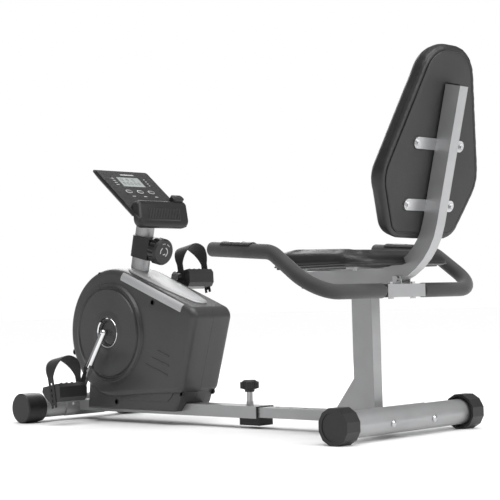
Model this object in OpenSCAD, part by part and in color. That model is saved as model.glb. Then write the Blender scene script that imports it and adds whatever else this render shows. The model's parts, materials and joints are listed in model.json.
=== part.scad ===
// Recumbent exercise bike, assembled from separate pieces.
// +X runs to the rear (the rider faces -X), +Y is the rider's right, Z = 0 is the floor.
// The origin is on the floor, midway along the bike's length, in its plane of symmetry.

/* [Overall] */
// Distance between the front and rear stabilizer axes
wheelbase = 1175; // [960:5:1420]
// Length of the front stabilizer over its transport wheels
front_foot_w = 420; // [360:5:500]
// Length of the rear stabilizer over its levelling caps
rear_foot_w = 500; // [420:5:600]
// Outer diameter of the transport wheels, which sets the height of both stabilizers
wheel_d = 82; // [78:1:100]
// Diameter of both stabilizer tubes
foot_tube_d = 60; // [50:1:64]
// Height of the top of the seat rail above the floor
rail_top = 385; // [320:1:470]

/* [Beam and slide] */
// Width of the fixed floor beam
beam_w = 60; // [50:1:70]
// Height of the fixed floor beam
beam_h = 30; // [28:1:40]
// Wall of the beam and of the sliding tube
tube_wall = 1.5; // [1.2:0.1:2.5]
// Width of the tube that slides in the beam
slide_w = 50; // [40:1:54]
// Height of the tube that slides in the beam
slide_h = 25; // [20:1:25]
// Distance from the front stabilizer axis to the beam's open end
beam_len = 731; // [680:1:780]
// Length of sliding tube that stays inside the beam at rest
slide_inside = 330; // [280:5:400]
// Pitch of the seat adjustment holes
slot_pitch = 47; // [40:1:50]

/* [Seat carriage] */
// Depth of the seat post, seat rail and backrest upright along the bike
post_d = 60; // [50:1:64]
// Depth of the seat rail and the backrest upright
rail_d = 40; // [36:1:50]
// Width of the seat post, seat rail and backrest upright
rail_w = 30; // [26:1:36]
// Distance from the rear stabilizer axis forward to the middle of the post
post_back = 104; // [90:1:120]
// Distance from the rear stabilizer axis rearward to the backrest's foot line
back_offset = 57; // [40:1:80]
// Lean of the backrest from the vertical, in degrees
back_lean = 14.2; // [8:0.1:22]
// Height of the upright along its slope, above the seat rail
upright_len = 415; // [380:5:450]
// Radius of the upright's bend, on the tube's centre line
bend_r = 155; // [130:5:170]

/* [Cushions] */
// Length of the seat cushion
seat_len = 300; // [260:5:310]
// Width of the seat cushion
seat_width = 372; // [320:2:420]
// Thickness of the seat cushion
seat_t = 34; // [28:1:50]
// Height of the backrest cushion along its slope
back_h = 440; // [400:5:480]
// Width of the backrest cushion at its widest
back_w = 352; // [300:2:380]
// Thickness of the backrest cushion
back_t = 50; // [36:1:60]

/* [Handlebar] */
// Half of the distance between the two grips' axes
bar_y = 294; // [260:1:320]
// Diameter of the steel handlebar
bar_d = 25; // [22:0.1:28]
// Diameter over the foam grips
grip_d = 34; // [32:0.5:40]

/* [Drive] */
// Height of the crank axis
hub_z = 244; // [235:1:270]
// Distance from the front stabilizer axis to the crank axis
hub_back = 224; // [215:1:240]
// Length of a crank arm
crank_len = 165; // [150:1:175]
// Outer radius of the drive pulley
pulley_r = 90; // [80:1:100]
// Outer radius of the flywheel
flywheel_r = 105; // [90:1:110]
// Thickness of the flywheel's rim
flywheel_t = 24; // [18:1:30]

/* [Housing and console] */
// Half of the housing's width
case_w = 71; // [66:1:80]
// Radius of the housing's round front
case_r = 174; // [170:1:185]
// Wall of the plastic housing
case_wall = 3; // [2:0.1:4]
// Diameter of the console mast
mast_d = 50; // [40:1:60]
// Lean of the mast from the vertical, in degrees
mast_lean = 13.4; // [8:0.1:18]
// Tilt of the console's face from the horizontal, in degrees
face_tilt = 39; // [30:1:50]
// Width of the console's face
face_w = 184; // [160:2:220]

/* [Hidden] */
$fn = 48;
eps = 0.01;
fit = 0.1;        // running clearance on a radius
gap = 0.3;        // clearance between pieces that only pass each other

// Frame lines along X, all counted from the front stabilizer axis at front_x
plug_t = 3;
wheel_r = wheel_d / 2;
foot_r = foot_tube_d / 2;
axis_z = wheel_r;
back_x0 = wheelbase + back_offset;
rear_reach = back_x0 + (upright_len + plug_t) * sin(back_lean) + rail_d * cos(back_lean);
front_x = -(rear_reach - wheel_r) / 2;
rear_x = front_x + wheelbase;
beam_end = front_x + beam_len;
post_x = rear_x - post_back;
back_x = rear_x + back_offset;
hub_x = front_x + hub_back;

// Beam and slide heights
beam_top = axis_z + beam_h / 2;
beam_low = axis_z - beam_h / 2;
slide_top = axis_z + slide_h / 2;
slide_low = axis_z - slide_h / 2;
slide_x0 = beam_end - slide_inside;
saddle_t = 4;
saddle_span = 60;
front_saddle_w = 146;
rear_saddle_w = 196;
front_bolt_y = 52;
rear_bolt_y = 75;
front_bolt_z = axis_z + 6;
rear_bolt_z = axis_z - 4.5;
bolt_r = 4;

// Pull pin
pin_x = beam_end - 49;
pin_r = 5;
boss_r = 9;
boss_h = 10;
pin_lift = 10;
knob_low = beam_top + 34;

// Feet
collar_w = 12;
wheel_w = 50;
front_tube_w = front_foot_w - 2 * (wheel_w + collar_w + gap);
cap_w = 44;
cap_depth = 30;
cap_shift = 2;
rear_tube_w = rear_foot_w - 2 * (cap_w - cap_depth);

// Crank, flywheel and belt, in the housing
shell_r = 28;
shell_w = 64;
spindle_r = 9;
crank_turn = 25;
arm_y = 94;
pedal_y = 118;
eye_t = 16;
pedal_x = hub_x - crank_len * sin(crank_turn);
pedal_z = hub_z - crank_len * cos(crank_turn);
pedal_in = pedal_y + eye_t / 2 + 4;
pedal_len = 92;
pedal_d = 78;
pedal_tilt = 10;
axle_r = 6;
fly_x = hub_x + 176;
fly_z = hub_z - 58;
fly_axle_r = 6;
small_pulley_r = 20;
belt_y = 43;
belt_w = 12;
belt_t = 3;
belt_gap = 0.3;
idler_r = 15;
belt_span = sqrt(pow(fly_x - hub_x, 2) + pow(fly_z - hub_z, 2));
belt_fall = atan2(hub_z - fly_z, fly_x - hub_x);
belt_lean = asin((pulley_r - small_pulley_r) / belt_span);
idler_along = 105;
bracket_y = 54;
bracket_t = 3;

// Magnet bracket around the rim of the flywheel, on the side away from the crank
magnet_gap = 6;
magnet_a0 = 15;
magnet_a1 = 84;
pivot_a = 84;
pivot_pin_r = 4;
pivot_r = flywheel_r + 10;
pivot_x = fly_x + pivot_r * cos(pivot_a);
pivot_z = fly_z + pivot_r * sin(pivot_a);

// Mast line: it passes behind the crank axis
mast_r = mast_d / 2;
mast_wall = 2;
mast_back = 8.3;
mast_len = 338;
mast_cut = 150;
collar_s = 210;
collar_h = 58;
collar_r = mast_r + 5;
collar_reach = 55;
knob_s = collar_s + collar_h / 2;
knob_r = 36;
knob_len = 32;

// Housing outline: a big circle at the crank, a small one at the top rear and one at the heel
edge = 18;
top_rear_x = hub_x + 304;
top_rear_z = hub_z + 37;
top_rear_r = 30;
heel_x = hub_x + 256;
heel_z = hub_z - 136;
heel_r = 12;
case_low = beam_low + 9;
base_w = 62;
join_gap = 0.15;
cover_r = 136;
disc_r = 121;
ring_r = 42;
ring_hole = 34;
slope_a = atan2(top_rear_z - hub_z, top_rear_x - hub_x)
    + acos((case_r - top_rear_r) / norm([top_rear_x - hub_x, top_rear_z - hub_z]));
cover_t = 4;
cover_lift = 0.4;

// Console frame: origin at the middle of the face's top edge, x down the face, z out of it
face_x = hub_x - 17;
face_z = hub_z + 443;
face_t = 3;
shell_t = 15;
face_len = 200;
tray_w = 164;
lcd_x = 49;
lcd_len = 46;
lcd_w = 80;
button_x = 97;
button_pitch = 40;
button_r = 8;

// Seat, backrest and handlebar
board_t = 10;
bracket_h = 4;
rail_hole_dx = [68, seat_len - 77];
seat_x = rear_x - 120;
seat_low = rail_top + bracket_h + board_t;
rail_x0 = seat_x - seat_len / 2 - 18;
rail_wall = 2;
strap_v = [141, 279];
strap_half = 90;
strap_hole = 79;
strap_t = 4;
back_v0 = 63;
bar_r = bar_d / 2;
grip_r = grip_d / 2;
grip_core = bar_r + 0.05;
cross_x = rear_x + 5;
cross_z = rail_top - 52;
grip_z = rail_top + 55;
grip_rise = 15;
tip_x = rear_x - 314;
bend_x = rear_x - 123;
clamp_half = 68;
clamp_bolt_z = rail_top - 25;

// Path of one grip, from cut millimetres behind its tip to y_end on the cross tube
function grip_path(cut, y_end) = [
    [tip_x + cut, -bar_y, grip_z - cut * grip_rise / (bend_x - tip_x)],
    [bend_x, -bar_y, grip_z - grip_rise], [cross_x, -bar_y, cross_z], [cross_x, y_end, cross_z]
];
grip_bends = [0, 60, 73, 0];

// Path of the whole steel bar
function bar_path(cut) = concat(
    [for (i = [0:2]) grip_path(cut, 0)[i]],
    [for (i = [2:-1:0]) let (p = grip_path(cut, 0)[i]) [p.x, -p.y, p.z]]
);
bar_bends = [0, 60, 73, 73, 60, 0];

function unit(v) = v / norm(v);

// ---------- shared shapes ----------

// A box given by its low and high corners
module block(low, high) {
    translate(low)
        cube(high - low);
}

// A cylinder along Y, from y0 to y1
module rod_y(x, z, r, y0, y1) {
    translate([x, y1, z])
        rotate([90, 0, 0])
            cylinder(r = r, h = y1 - y0);
}

// A cylinder along X, from x0 to x1
module rod_x(y, z, r, x0, x1) {
    translate([x0, y, z])
        rotate([0, 90, 0])
            cylinder(r = r, h = x1 - x0);
}

// Places children with their z axis along the unit vector w and their x axis along u
module along(p, u, w) {
    v = cross(w, u);
    multmatrix([
        [u.x, v.x, w.x, p.x],
        [u.y, v.y, w.y, p.y],
        [u.z, v.z, w.z, p.z],
        [0, 0, 0, 1]
    ])
        children();
}

// Steps in a bend of a swept tube, and sides of a round one
bend_steps = 8;
round_sides = 20;

// Distance from a path's corner to where its bend starts
function bend_set(path, radii, i) =
    let (d = unit(path[i] - path[i - 1]), e = unit(path[i + 1] - path[i]))
        radii[i] * tan(acos(d * e) / 2);

// Centre-line points and directions round one corner of a path
function bend_points(path, radii, i) =
    let (
        d = unit(path[i] - path[i - 1]),
        e = unit(path[i + 1] - path[i]),
        turn = acos(d * e),
        centre = path[i] + unit(e - d) * radii[i] / cos(turn / 2),
        out = unit(path[i] - d * bend_set(path, radii, i) - centre)
    )
    [for (k = [0:bend_steps])
        let (t = turn * k / bend_steps)
            [centre + radii[i] * (out * cos(t) + d * sin(t)), d * cos(t) - out * sin(t)]];

// The whole centre line of a path with rounded corners
function centre_line(path, radii) =
    let (n = len(path) - 1)
        concat(
            [[path[0], unit(path[1] - path[0])]],
            [for (i = [1:1:n - 1]) each bend_points(path, radii, i)],
            [[path[n], unit(path[n] - path[n - 1])]]
        );

// Carries a side direction along a centre line without twisting it
function carried(line, i, side) =
    i == len(line) ? [] :
    let (v = unit(side - line[i][1] * (side * line[i][1])))
        concat([v], carried(line, i + 1, v));

// Sweeps a closed outline, drawn as [along side, across it], down a centre line
module sweep(line, side, outline) {
    n = len(outline);
    last = len(line) - 1;
    sides = carried(line, 0, side);
    points = [for (i = [0:last], p = outline)
        line[i][0] + sides[i] * p[0] + cross(line[i][1], sides[i]) * p[1]];
    polyhedron(
        points = points,
        faces = concat(
            [[for (k = [0:n - 1]) k]],
            [for (i = [0:last - 1], k = [0:n - 1])
                let (a = i * n, j = (k + 1) % n)
                    [a + k, a + n + k, a + n + j, a + j]],
            [[for (k = [n - 1:-1:0]) last * n + k]]
        )
    );
}

function ring(r, sides) = [for (k = [0:sides - 1]) r * [cos(360 * k / sides), sin(360 * k / sides)]];

function oblong(w, h) = [[w / 2, -h / 2], [w / 2, h / 2], [-w / 2, h / 2], [-w / 2, -h / 2]];

// Rectangular tube section centred on [x, y]
module tube_section(x, y, w, h, wall) {
    translate([x, y])
        difference() {
            square([w, h], center = true);
            square([w - 2 * wall, h - 2 * wall], center = true);
        }
}

// Curved plate that hugs a stabilizer tube; toward 1 faces the rear, -1 the front
module saddle(x, w, toward) {
    translate([x, w / 2, axis_z])
        rotate([90, 0, 0])
            rotate([0, 0, toward > 0 ? -saddle_span : 180 - saddle_span])
                rotate_extrude(angle = 2 * saddle_span)
                    translate([foot_r + 0.05, 0])
                        square([saddle_t, w]);
}

// Holes through a stabilizer and its saddle
module foot_bolt_holes(x, y, z) {
    for (side = [-1, 1])
        rod_x(side * y, z, bolt_r + 0.3, x - foot_r - 10, x + foot_r + 10);
}

// Carriage bolt along X with its round head at x0 and its dome nut at x1
module carriage_bolt(y, z, x0, x1) {
    toward = x1 > x0 ? 1 : -1;
    rod_x(y, z, bolt_r, min(x0, x1) - 1, max(x0, x1) + 1);
    translate([x0, y, z])
        rotate([0, -90 * toward, 0])
            dome(8, 3.5);
    translate([x1, y, z])
        rotate([0, 90 * toward, 0])
            dome(7, 7);
}

// Flat-bottomed dome of base radius r and height h, standing on z = 0
module dome(r, h) {
    ball = (r * r + h * h) / (2 * h);
    rotate_extrude()
        intersection() {
            translate([0, h - ball])
                circle(r = ball, $fn = 64);
            square([r + 1, h + 1]);
        }
}

// The straight front part of a rounded slab outline
module rounded_rect(w, l, r) {
    union() {
        square([l - 2 * r, w], center = true);
        square([l, w - 2 * r], center = true);
        for (sx = [-1, 1], sy = [-1, 1])
            translate([sx * (l / 2 - r), sy * (w / 2 - r)])
                circle(r = r);
    }
}

// ---------- floor beam and feet ----------

module main_beam() {
    color("silver")
        difference() {
            union() {
                block([front_x + foot_r + 2, -beam_w / 2, beam_low], [beam_end, beam_w / 2, beam_top]);
                saddle(front_x, front_saddle_w, 1);
                translate([pin_x, 0, beam_top - eps])
                    cylinder(r = boss_r, h = boss_h);
            }
            block([front_x + foot_r + 8, -beam_w / 2 + tube_wall, beam_low + tube_wall],
                [beam_end + 1, beam_w / 2 - tube_wall, beam_top - tube_wall]);
            rod_y(front_x, axis_z, foot_r + 0.05, -beam_w, beam_w);
            foot_bolt_holes(front_x, front_bolt_y, front_bolt_z);
            translate([pin_x, 0, axis_z])
                cylinder(r = pin_r + fit, h = beam_h + boss_h);
        }
}

module slide_bushing() {
    flange = 4;
    inset = 60;
    color("black")
        difference() {
            union() {
                block([beam_end - inset, -beam_w / 2 + tube_wall + 0.05, beam_low + tube_wall + 0.05],
                    [beam_end + flange, beam_w / 2 - tube_wall - 0.05, beam_top - tube_wall - 0.05]);
                block([beam_end + 0.05, -beam_w / 2, beam_low],
                    [beam_end + flange, beam_w / 2, beam_top]);
            }
            block([beam_end - inset - 1, -slide_w / 2 - fit, slide_low - fit],
                [beam_end + flange + 1, slide_w / 2 + fit, slide_top + fit]);
            translate([pin_x, 0, axis_z])
                cylinder(r = pin_r + 1.5, h = beam_h);
        }
}

module beam_foot() {
    foot_x0 = beam_end - 64;
    color("dimgray")
        block([foot_x0, -24, 8], [foot_x0 + 70, 24, beam_low]);
}

module front_stabilizer_tube() {
    color("silver")
        difference() {
            rod_y(front_x, axis_z, foot_r, -front_tube_w / 2, front_tube_w / 2);
            rod_y(front_x, axis_z, foot_r - tube_wall, -front_tube_w, front_tube_w);
            foot_bolt_holes(front_x, front_bolt_y, front_bolt_z);
        }
}

module front_bolts() {
    rise = front_bolt_z - axis_z;
    reach = sqrt(foot_r * foot_r - rise * rise);
    color("gainsboro")
        for (side = [-1, 1])
            carriage_bolt(side * front_bolt_y, front_bolt_z,
                front_x - reach - 1.2, front_x + reach + saddle_t + 1.2);
}

// Fixed plastic plug in each end of the front tube, with the wheel's stub axle
module front_end_plugs() {
    plug_in = 26;
    stub_r = 6;
    color("black")
        for (side = [-1, 1])
            mirror([0, side < 0 ? 1 : 0, 0]) {
                y0 = front_tube_w / 2;
                rod_y(front_x, axis_z, foot_r - tube_wall - 0.05, y0 - plug_in, y0);
                rod_y(front_x, axis_z, wheel_r - 2, y0, y0 + collar_w);
                rod_y(front_x, axis_z, stub_r, y0 + collar_w, y0 + collar_w + wheel_w - 6);
            }
}

module transport_wheel(side) {
    y0 = front_tube_w / 2 + collar_w + gap;
    color("black")
        mirror([0, side < 0 ? 1 : 0, 0])
            difference() {
                translate([front_x, y0, axis_z])
                    rotate([-90, 0, 0])
                        rotate_extrude()
                            polygon([
                                [0, 0], [wheel_r - 2, 0], [wheel_r, 2], [wheel_r, wheel_w - 3],
                                [wheel_r - 3, wheel_w], [0, wheel_w]
                            ]);
                rod_y(front_x, axis_z, 6 + fit, y0 - 1, y0 + wheel_w - 5);
            }
}

// Twelve-sided levelling cap, bored off centre on the rear tube
module levelling_cap(side) {
    flats_r = wheel_r / cos(15);
    y1 = rear_foot_w / 2;
    color("black")
        mirror([0, side < 0 ? 1 : 0, 0])
            difference() {
                translate([rear_x + cap_shift, y1, axis_z])
                    rotate([90, 15, 0])
                        cylinder(r = flats_r, h = cap_w, $fn = 12);
                rod_y(rear_x, axis_z, foot_r + fit, y1 - cap_w - 1, y1 - cap_w + cap_depth);
                rod_y(rear_x + cap_shift, axis_z, wheel_r - 5, y1 - cap_w - 1, y1 - cap_w + 10);
                rod_y(rear_x + cap_shift, axis_z, wheel_r - 9, y1 - 1.5, y1 + 1);
            }
}

// ---------- front frame and drive ----------

// Children are drawn with z along the mast and the origin where it crosses the crank's height
module on_mast() {
    translate([hub_x + mast_back, 0, hub_z])
        rotate([0, mast_lean, 0])
            children();
}

mast_in = mast_r - mast_wall - 0.1;
mast_foot = (hub_z - beam_top) / cos(mast_lean);

module upright_frame() {
    color("dimgray")
        difference() {
            union() {
                intersection() {
                    on_mast()
                        translate([0, 0, -mast_foot - 20])
                            cylinder(r = mast_r, h = mast_foot + 20);
                    block([hub_x - 100, -40, beam_top + 0.02], [hub_x + 100, 40, hub_z + 40]);
                }
                on_mast()
                    cylinder(r = mast_in, h = collar_s + 10);
                rod_y(hub_x, hub_z, shell_r, -shell_w / 2, shell_w / 2);
            }
            on_mast()
                translate([0, 0, 34])
                    cylinder(r = mast_in - 2, h = collar_s);
            on_mast()
                translate([0, 0, 101])
                    rotate([0, 90, 0])
                        cylinder(r = 9, h = 40);
            rod_y(hub_x, hub_z, shell_r - 4, -shell_w, shell_w);
        }
}

module bearing_cups() {
    color("gray")
        for (side = [-1, 1])
            mirror([0, side < 0 ? 1 : 0, 0])
                difference() {
                    union() {
                        rod_y(hub_x, hub_z, shell_r - 4.02, shell_w / 2 - 14, shell_w / 2 + 3);
                        rod_y(hub_x, hub_z, shell_r - 2, shell_w / 2 + 0.02, shell_w / 2 + 3);
                    }
                    rod_y(hub_x, hub_z, spindle_r + fit, 0, shell_w);
                }
}

module mast() {
    color("silver")
        on_mast()
            difference() {
                translate([0, 0, mast_cut])
                    cylinder(r = mast_r, h = mast_len - mast_cut);
                translate([0, 0, mast_cut - 1])
                    cylinder(r = mast_r - mast_wall, h = mast_len);
                translate([0, 0, knob_s - 3])
                    rotate([0, 90, 0])
                        cylinder(r = 8, h = 60);
            }
}

// Moulded collar round the mast that carries the tension knob
module tension_collar() {
    color("black")
        on_mast()
            translate([0, 0, collar_s])
                difference() {
                    union() {
                        cylinder(r = collar_r, h = collar_h);
                        translate([0, -collar_r, 0])
                            cube([collar_reach, 2 * collar_r, collar_h]);
                    }
                    translate([0, 0, -1])
                        cylinder(r = mast_r + 0.05, h = collar_h + 2);
                    translate([mast_r + 3, -collar_r + 3, 3])
                        cube([collar_reach - mast_r - 6, 2 * collar_r - 6, collar_h - 6]);
                    translate([mast_r - 5, 0, collar_h / 2])
                        rotate([0, 90, 0])
                            cylinder(r = 5 + fit, h = 60);
                }
}

module tension_knob() {
    flutes = 12;
    color("black")
        on_mast()
            translate([collar_reach + gap, 0, knob_s])
                rotate([0, 90, 0])
                    difference() {
                        union() {
                            rotate_extrude()
                                polygon([
                                    [0, 0], [knob_r - 4, 0], [knob_r, 4], [knob_r, knob_len - 5],
                                    [knob_r - 5, knob_len], [0, knob_len]
                                ]);
                            translate([0, 0, -18])
                                cylinder(r = 5, h = 19);
                        }
                        for (i = [0:flutes - 1])
                            rotate([0, 0, i * 360 / flutes])
                                translate([knob_r + 4, 0, -1])
                                    cylinder(r = 7, h = knob_len - 6);
                    }
}

// Bowden cable: from the collar down inside the mast, out of the upright, to the magnet bracket
cable_r = 2.5;
cable_path = [
    [37, knob_s - 8], [24, knob_s - 2], [12, knob_s - 6], [4, knob_s - 18], [0, knob_s - 36], [0, 180],
    [0, 145], [3, 126], [9, 112], [18, 102], [30, 97], [48, 96], [80, 101], [112, 111], [138, 119]
];
cable_line = [for (i = [0:len(cable_path) - 1])
    let (
        a = cable_path[max(i - 1, 0)],
        b = cable_path[min(i + 1, len(cable_path) - 1)],
        p = cable_path[i]
    )
    [[p.x, 0, p.y], unit([b.x - a.x, 0, b.y - a.y])]];

module tension_cable() {
    color("black")
        on_mast()
            sweep(cable_line, [0, 1, 0], ring(cable_r, 8));
}

module arm_side(side) {
    dirn = side < 0 ? 1 : -1;
    ex = hub_x - dirn * crank_len * sin(crank_turn);
    ez = hub_z - dirn * crank_len * cos(crank_turn);
    mid = 0.62;
    kx = hub_x + (ex - hub_x) * mid;
    kz = hub_z + (ez - hub_z) * mid;
    ky = arm_y + (pedal_y - arm_y) * 0.75;
    start = [hub_x, side * arm_y, hub_z];
    knuckle = [kx, side * ky, kz];
    end = [ex, side * pedal_y, ez];
    d = unit(knuckle - start);
    e = unit(end - knuckle);
    along(start, unit(cross([0, 1, 0], d)), d)
        cylinder(r = 9, h = norm(knuckle - start));
    translate(start)
        sphere(r = 9.6);
    along(knuckle - d * 9, unit(cross([0, 1, 0], d)), d)
        translate([-11, -7, 0])
            cube([22, 14, 20]);
    along(knuckle, unit(cross([0, 1, 0], e)), e)
        translate([-9, -5.5, 0])
            cube([18, 11, norm(end - knuckle)]);
    rod_y(ex, ez, 14, min(side * (pedal_y - eye_t / 2), side * (pedal_y + eye_t / 2)),
        max(side * (pedal_y - eye_t / 2), side * (pedal_y + eye_t / 2)));
}

// Forged one-piece crank: spindle and both arms
module crank_arms() {
    color("gainsboro")
        difference() {
            union() {
                rod_y(hub_x, hub_z, spindle_r, -arm_y, arm_y);
                for (side = [-1, 1])
                    arm_side(side);
            }
            for (side = [-1, 1])
                rod_y(hub_x + side * (hub_x - pedal_x), hub_z + side * (hub_z - pedal_z),
                    axle_r + 1, min(side * 100, side * 140), max(side * 100, side * 140));
        }
}

// Pedal spindles, screwed into the crank's eyes
module pedal_axles() {
    color("gray")
        for (side = [-1, 1])
            mirror([0, side < 0 ? 1 : 0, 0]) {
                x = hub_x + side * (hub_x - pedal_x);
                z = hub_z + side * (hub_z - pedal_z);
                rod_y(x, z, axle_r + 0.95, pedal_y - eye_t / 2, pedal_y + eye_t / 2);
                rod_y(x, z, axle_boss_r, pedal_y + eye_t / 2 + 0.02, pedal_in - 0.5);
                rod_y(x, z, axle_r, pedal_y + eye_t / 2, pedal_in + pedal_len - 8);
            }
}

// Weighted exercise pedal drawn about its own spindle, platform up, from y = 0 outward
module pedal_shape() {
    half = pedal_d / 2;
    studs = [for (i = [-1:1], j = [0:3]) [i * 22, 18 + j * 18]];
    difference() {
        union() {
            translate([0, pedal_len, 0])
                rotate([90, 0, 0])
                    linear_extrude(pedal_len)
                        polygon([
                            [-half, 2], [-half + 6, 14], [half - 6, 14], [half, 4],
                            [half - 4, -24], [half - 14, -34], [-10, -34], [-half + 8, -12]
                        ]);
            for (s = studs)
                translate([s.x, s.y, 14 - eps])
                    cylinder(r1 = 4.2, r2 = 3, h = 3, $fn = 24);
        }
        translate([0, -1, 0])
            rotate([-90, 0, 0])
                cylinder(r = axle_r + fit, h = pedal_len - 6);
        translate([-half + 12, 10, -40])
            cube([14, pedal_len - 20, 34]);
    }
}

axle_boss_r = 7.5;
strap_w = 60;
strap_leg = 24;
strap_thick = 2.4;
strap_rise = 84;
strap_shift = 6;

// Strap over the foot: two perforated legs and a wide arch, in the pedal's own frame
module strap_shape() {
    y0 = -0.05 - strap_thick;
    y1 = pedal_len + 0.05 + strap_thick;
    mid = (y0 + y1) / 2;
    r = (y1 - y0) / 2;
    arch_z = strap_rise - r * 0.62;
    difference() {
        union() {
            translate([strap_shift - strap_w / 2, mid, arch_z])
                rotate([90, 0, 90])
                    linear_extrude(strap_w)
                        difference() {
                            scale_arch(r);
                            scale_arch(r - strap_thick);
                            translate([-2 * r, -2 * r])
                                square([4 * r, 2 * r]);
                        }
            for (y = [y0, y1 - strap_thick])
                block([strap_shift - strap_leg / 2, y, y == y0 ? -22 : -48],
                    [strap_shift + strap_leg / 2, y + strap_thick, arch_z + 0.5]);
        }
        for (i = [0:3])
            translate([strap_shift, y1 + 1, -38 + i * 22])
                rotate([90, 0, 0])
                    cylinder(r = 4, h = 6);
        rod_y(0, 0, axle_boss_r + 1, y0 - 1, y0 + strap_thick + 1);
    }
}

// Half of an arch outline made of a corner radius on each side
module scale_arch(r) {
    corner = r * 0.62;
    union() {
        for (side = [-1, 1])
            translate([side * (r - corner), 0])
                circle(r = corner);
        translate([-(r - corner), 0])
            square([2 * (r - corner), corner]);
    }
}

module at_pedal(side) {
    translate([hub_x + side * (hub_x - pedal_x), side * pedal_in, hub_z + side * (hub_z - pedal_z)])
        mirror([0, side < 0 ? 1 : 0, 0])
            rotate([0, -pedal_tilt, 0])
                children();
}

module drive_pulley() {
    y0 = belt_y - belt_w / 2 - 1;
    color("dimgray")
        difference() {
            union() {
                rod_y(hub_x, hub_z, pulley_r, y0, y0 + belt_w + 2);
                rod_y(hub_x, hub_z, 22, shell_w / 2 + 3.5, y0 + belt_w + 6);
            }
            rod_y(hub_x, hub_z, spindle_r, 0, 100);
            rod_y(hub_x, hub_z, pulley_r - 12, y0 + belt_w - 2, y0 + belt_w + 3);
            for (a = [0:60:300])
                rod_y(hub_x + 52 * cos(a), hub_z + 52 * sin(a), 16, 0, 100);
        }
    color("dimgray")
        difference() {
            rod_y(hub_x, hub_z, 22, y0 + belt_w - 2, y0 + belt_w + 6);
            rod_y(hub_x, hub_z, spindle_r, 0, 100);
        }
}

// Belt outline at distance t outside both pulleys
module belt_outline(t) {
    hull() {
        translate([hub_x, hub_z])
            circle(r = pulley_r + t, $fn = 64);
        translate([fly_x, fly_z])
            circle(r = small_pulley_r + t, $fn = 32);
    }
}

module drive_belt() {
    color("black")
        translate([0, belt_y + belt_w / 2, 0])
            rotate([90, 0, 0])
                linear_extrude(belt_w)
                    difference() {
                        belt_outline(belt_gap + belt_t);
                        belt_outline(belt_gap);
                    }
}

module flywheel() {
    rim = 26;
    color("gray")
        difference() {
            union() {
                rod_y(fly_x, fly_z, flywheel_r, -flywheel_t / 2, flywheel_t / 2);
                rod_y(fly_x, fly_z, small_pulley_r, 0, belt_y + belt_w / 2 + 2);
                rod_y(fly_x, fly_z, 18, -flywheel_t / 2 - 20, 0);
            }
            rod_y(fly_x, fly_z, fly_axle_r + fit, -80, 80);
            for (side = [-1, 1])
                difference() {
                    rod_y(fly_x, fly_z, flywheel_r - rim, min(side * 6, side * 20),
                        max(side * 6, side * 20));
                    rod_y(fly_x, fly_z, 30, -30, 30);
                }
        }
}

// Flywheel's axle, and the pin that the magnet bracket swings on
module flywheel_axle() {
    color("gainsboro") {
        rod_y(fly_x, fly_z, fly_axle_r, -bracket_y - bracket_t - 7, bracket_y + bracket_t + 7);
        rod_y(pivot_x, pivot_z, pivot_pin_r, -bracket_y - bracket_t, bracket_y + bracket_t);
    }
}

// Two plates bolted on the beam's top that hold the flywheel's axle
module flywheel_bracket() {
    foot_in = beam_w / 2 - 8;
    color("dimgray")
        for (side = [-1, 1])
            mirror([0, side < 0 ? 1 : 0, 0])
                difference() {
                    union() {
                        translate([0, bracket_y + bracket_t, 0])
                            rotate([90, 0, 0])
                                linear_extrude(bracket_t)
                                    polygon([
                                        [fly_x - 40, beam_top + 0.05], [fly_x + 40, beam_top + 0.05],
                                        [fly_x + 22, fly_z], [pivot_x + 10, pivot_z + 8],
                                        [pivot_x - 10, pivot_z + 8], [fly_x - 22, fly_z]
                                    ]);
                        block([fly_x - 40, foot_in, beam_top + 0.05],
                            [fly_x + 40, bracket_y + 1, beam_top + 3]);
                    }
                    rod_y(fly_x, fly_z, fly_axle_r + 0.05, 0, 80);
                    rod_y(pivot_x, pivot_z, pivot_pin_r + 0.05, 0, 80);
                }
}

// The idler rides on the back of the belt's upper run
idler_n = [cos(90 - belt_fall - belt_lean), sin(90 - belt_fall - belt_lean)];
idler_t = [idler_n.y, -idler_n.x];
idler_p = [hub_x, hub_z] + idler_n * (pulley_r + belt_gap + belt_t + gap + idler_r)
    + idler_t * idler_along;

module idler_wheel() {
    color("dimgray")
        difference() {
            rod_y(idler_p.x, idler_p.y, idler_r, belt_y - belt_w / 2, belt_y + belt_w / 2);
            rod_y(idler_p.x, idler_p.y, 4 + fit, 0, 100);
        }
}

// Plate from the bearing shell to the idler, with the idler's pin
module idler_arm() {
    y0 = 30;
    color("gray") {
        difference() {
            block([hub_x, y0 - 4, idler_p.y - 9], [idler_p.x + 9, y0, idler_p.y + 9]);
            rod_y(hub_x, hub_z, shell_r + 0.02, 0, 60);
            on_mast()
                cylinder(r = mast_r + 0.02, h = 100);
        }
        rod_y(idler_p.x, idler_p.y, 4, y0 - 1, belt_y + belt_w / 2 + 2);
    }
}

// Channel that holds a row of magnets over the flywheel's rim and swings on its pin
module magnet_bracket() {
    inner = flywheel_r + magnet_gap;
    cheek_y = flywheel_t / 2 + 2.5;
    sleeve_r = 8;
    color("gray")
        difference() {
            union() {
                at_rim(magnet_a0, magnet_a1 - magnet_a0)
                    difference() {
                        translate([inner - 18, -cheek_y - 3])
                            square([22, 2 * cheek_y + 6]);
                        translate([inner - 19, -cheek_y])
                            square([19, 2 * cheek_y]);
                    }
                for (a = [magnet_a0 + 6:12:magnet_a1 - 20])
                    at_rim(a, 8)
                        translate([inner - 4, -9])
                            square([5, 18]);
                rod_y(pivot_x, pivot_z, sleeve_r, -cheek_y - 5, cheek_y + 5);
            }
            rod_y(pivot_x, pivot_z, pivot_pin_r + fit, -40, 40);
        }
}

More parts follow.
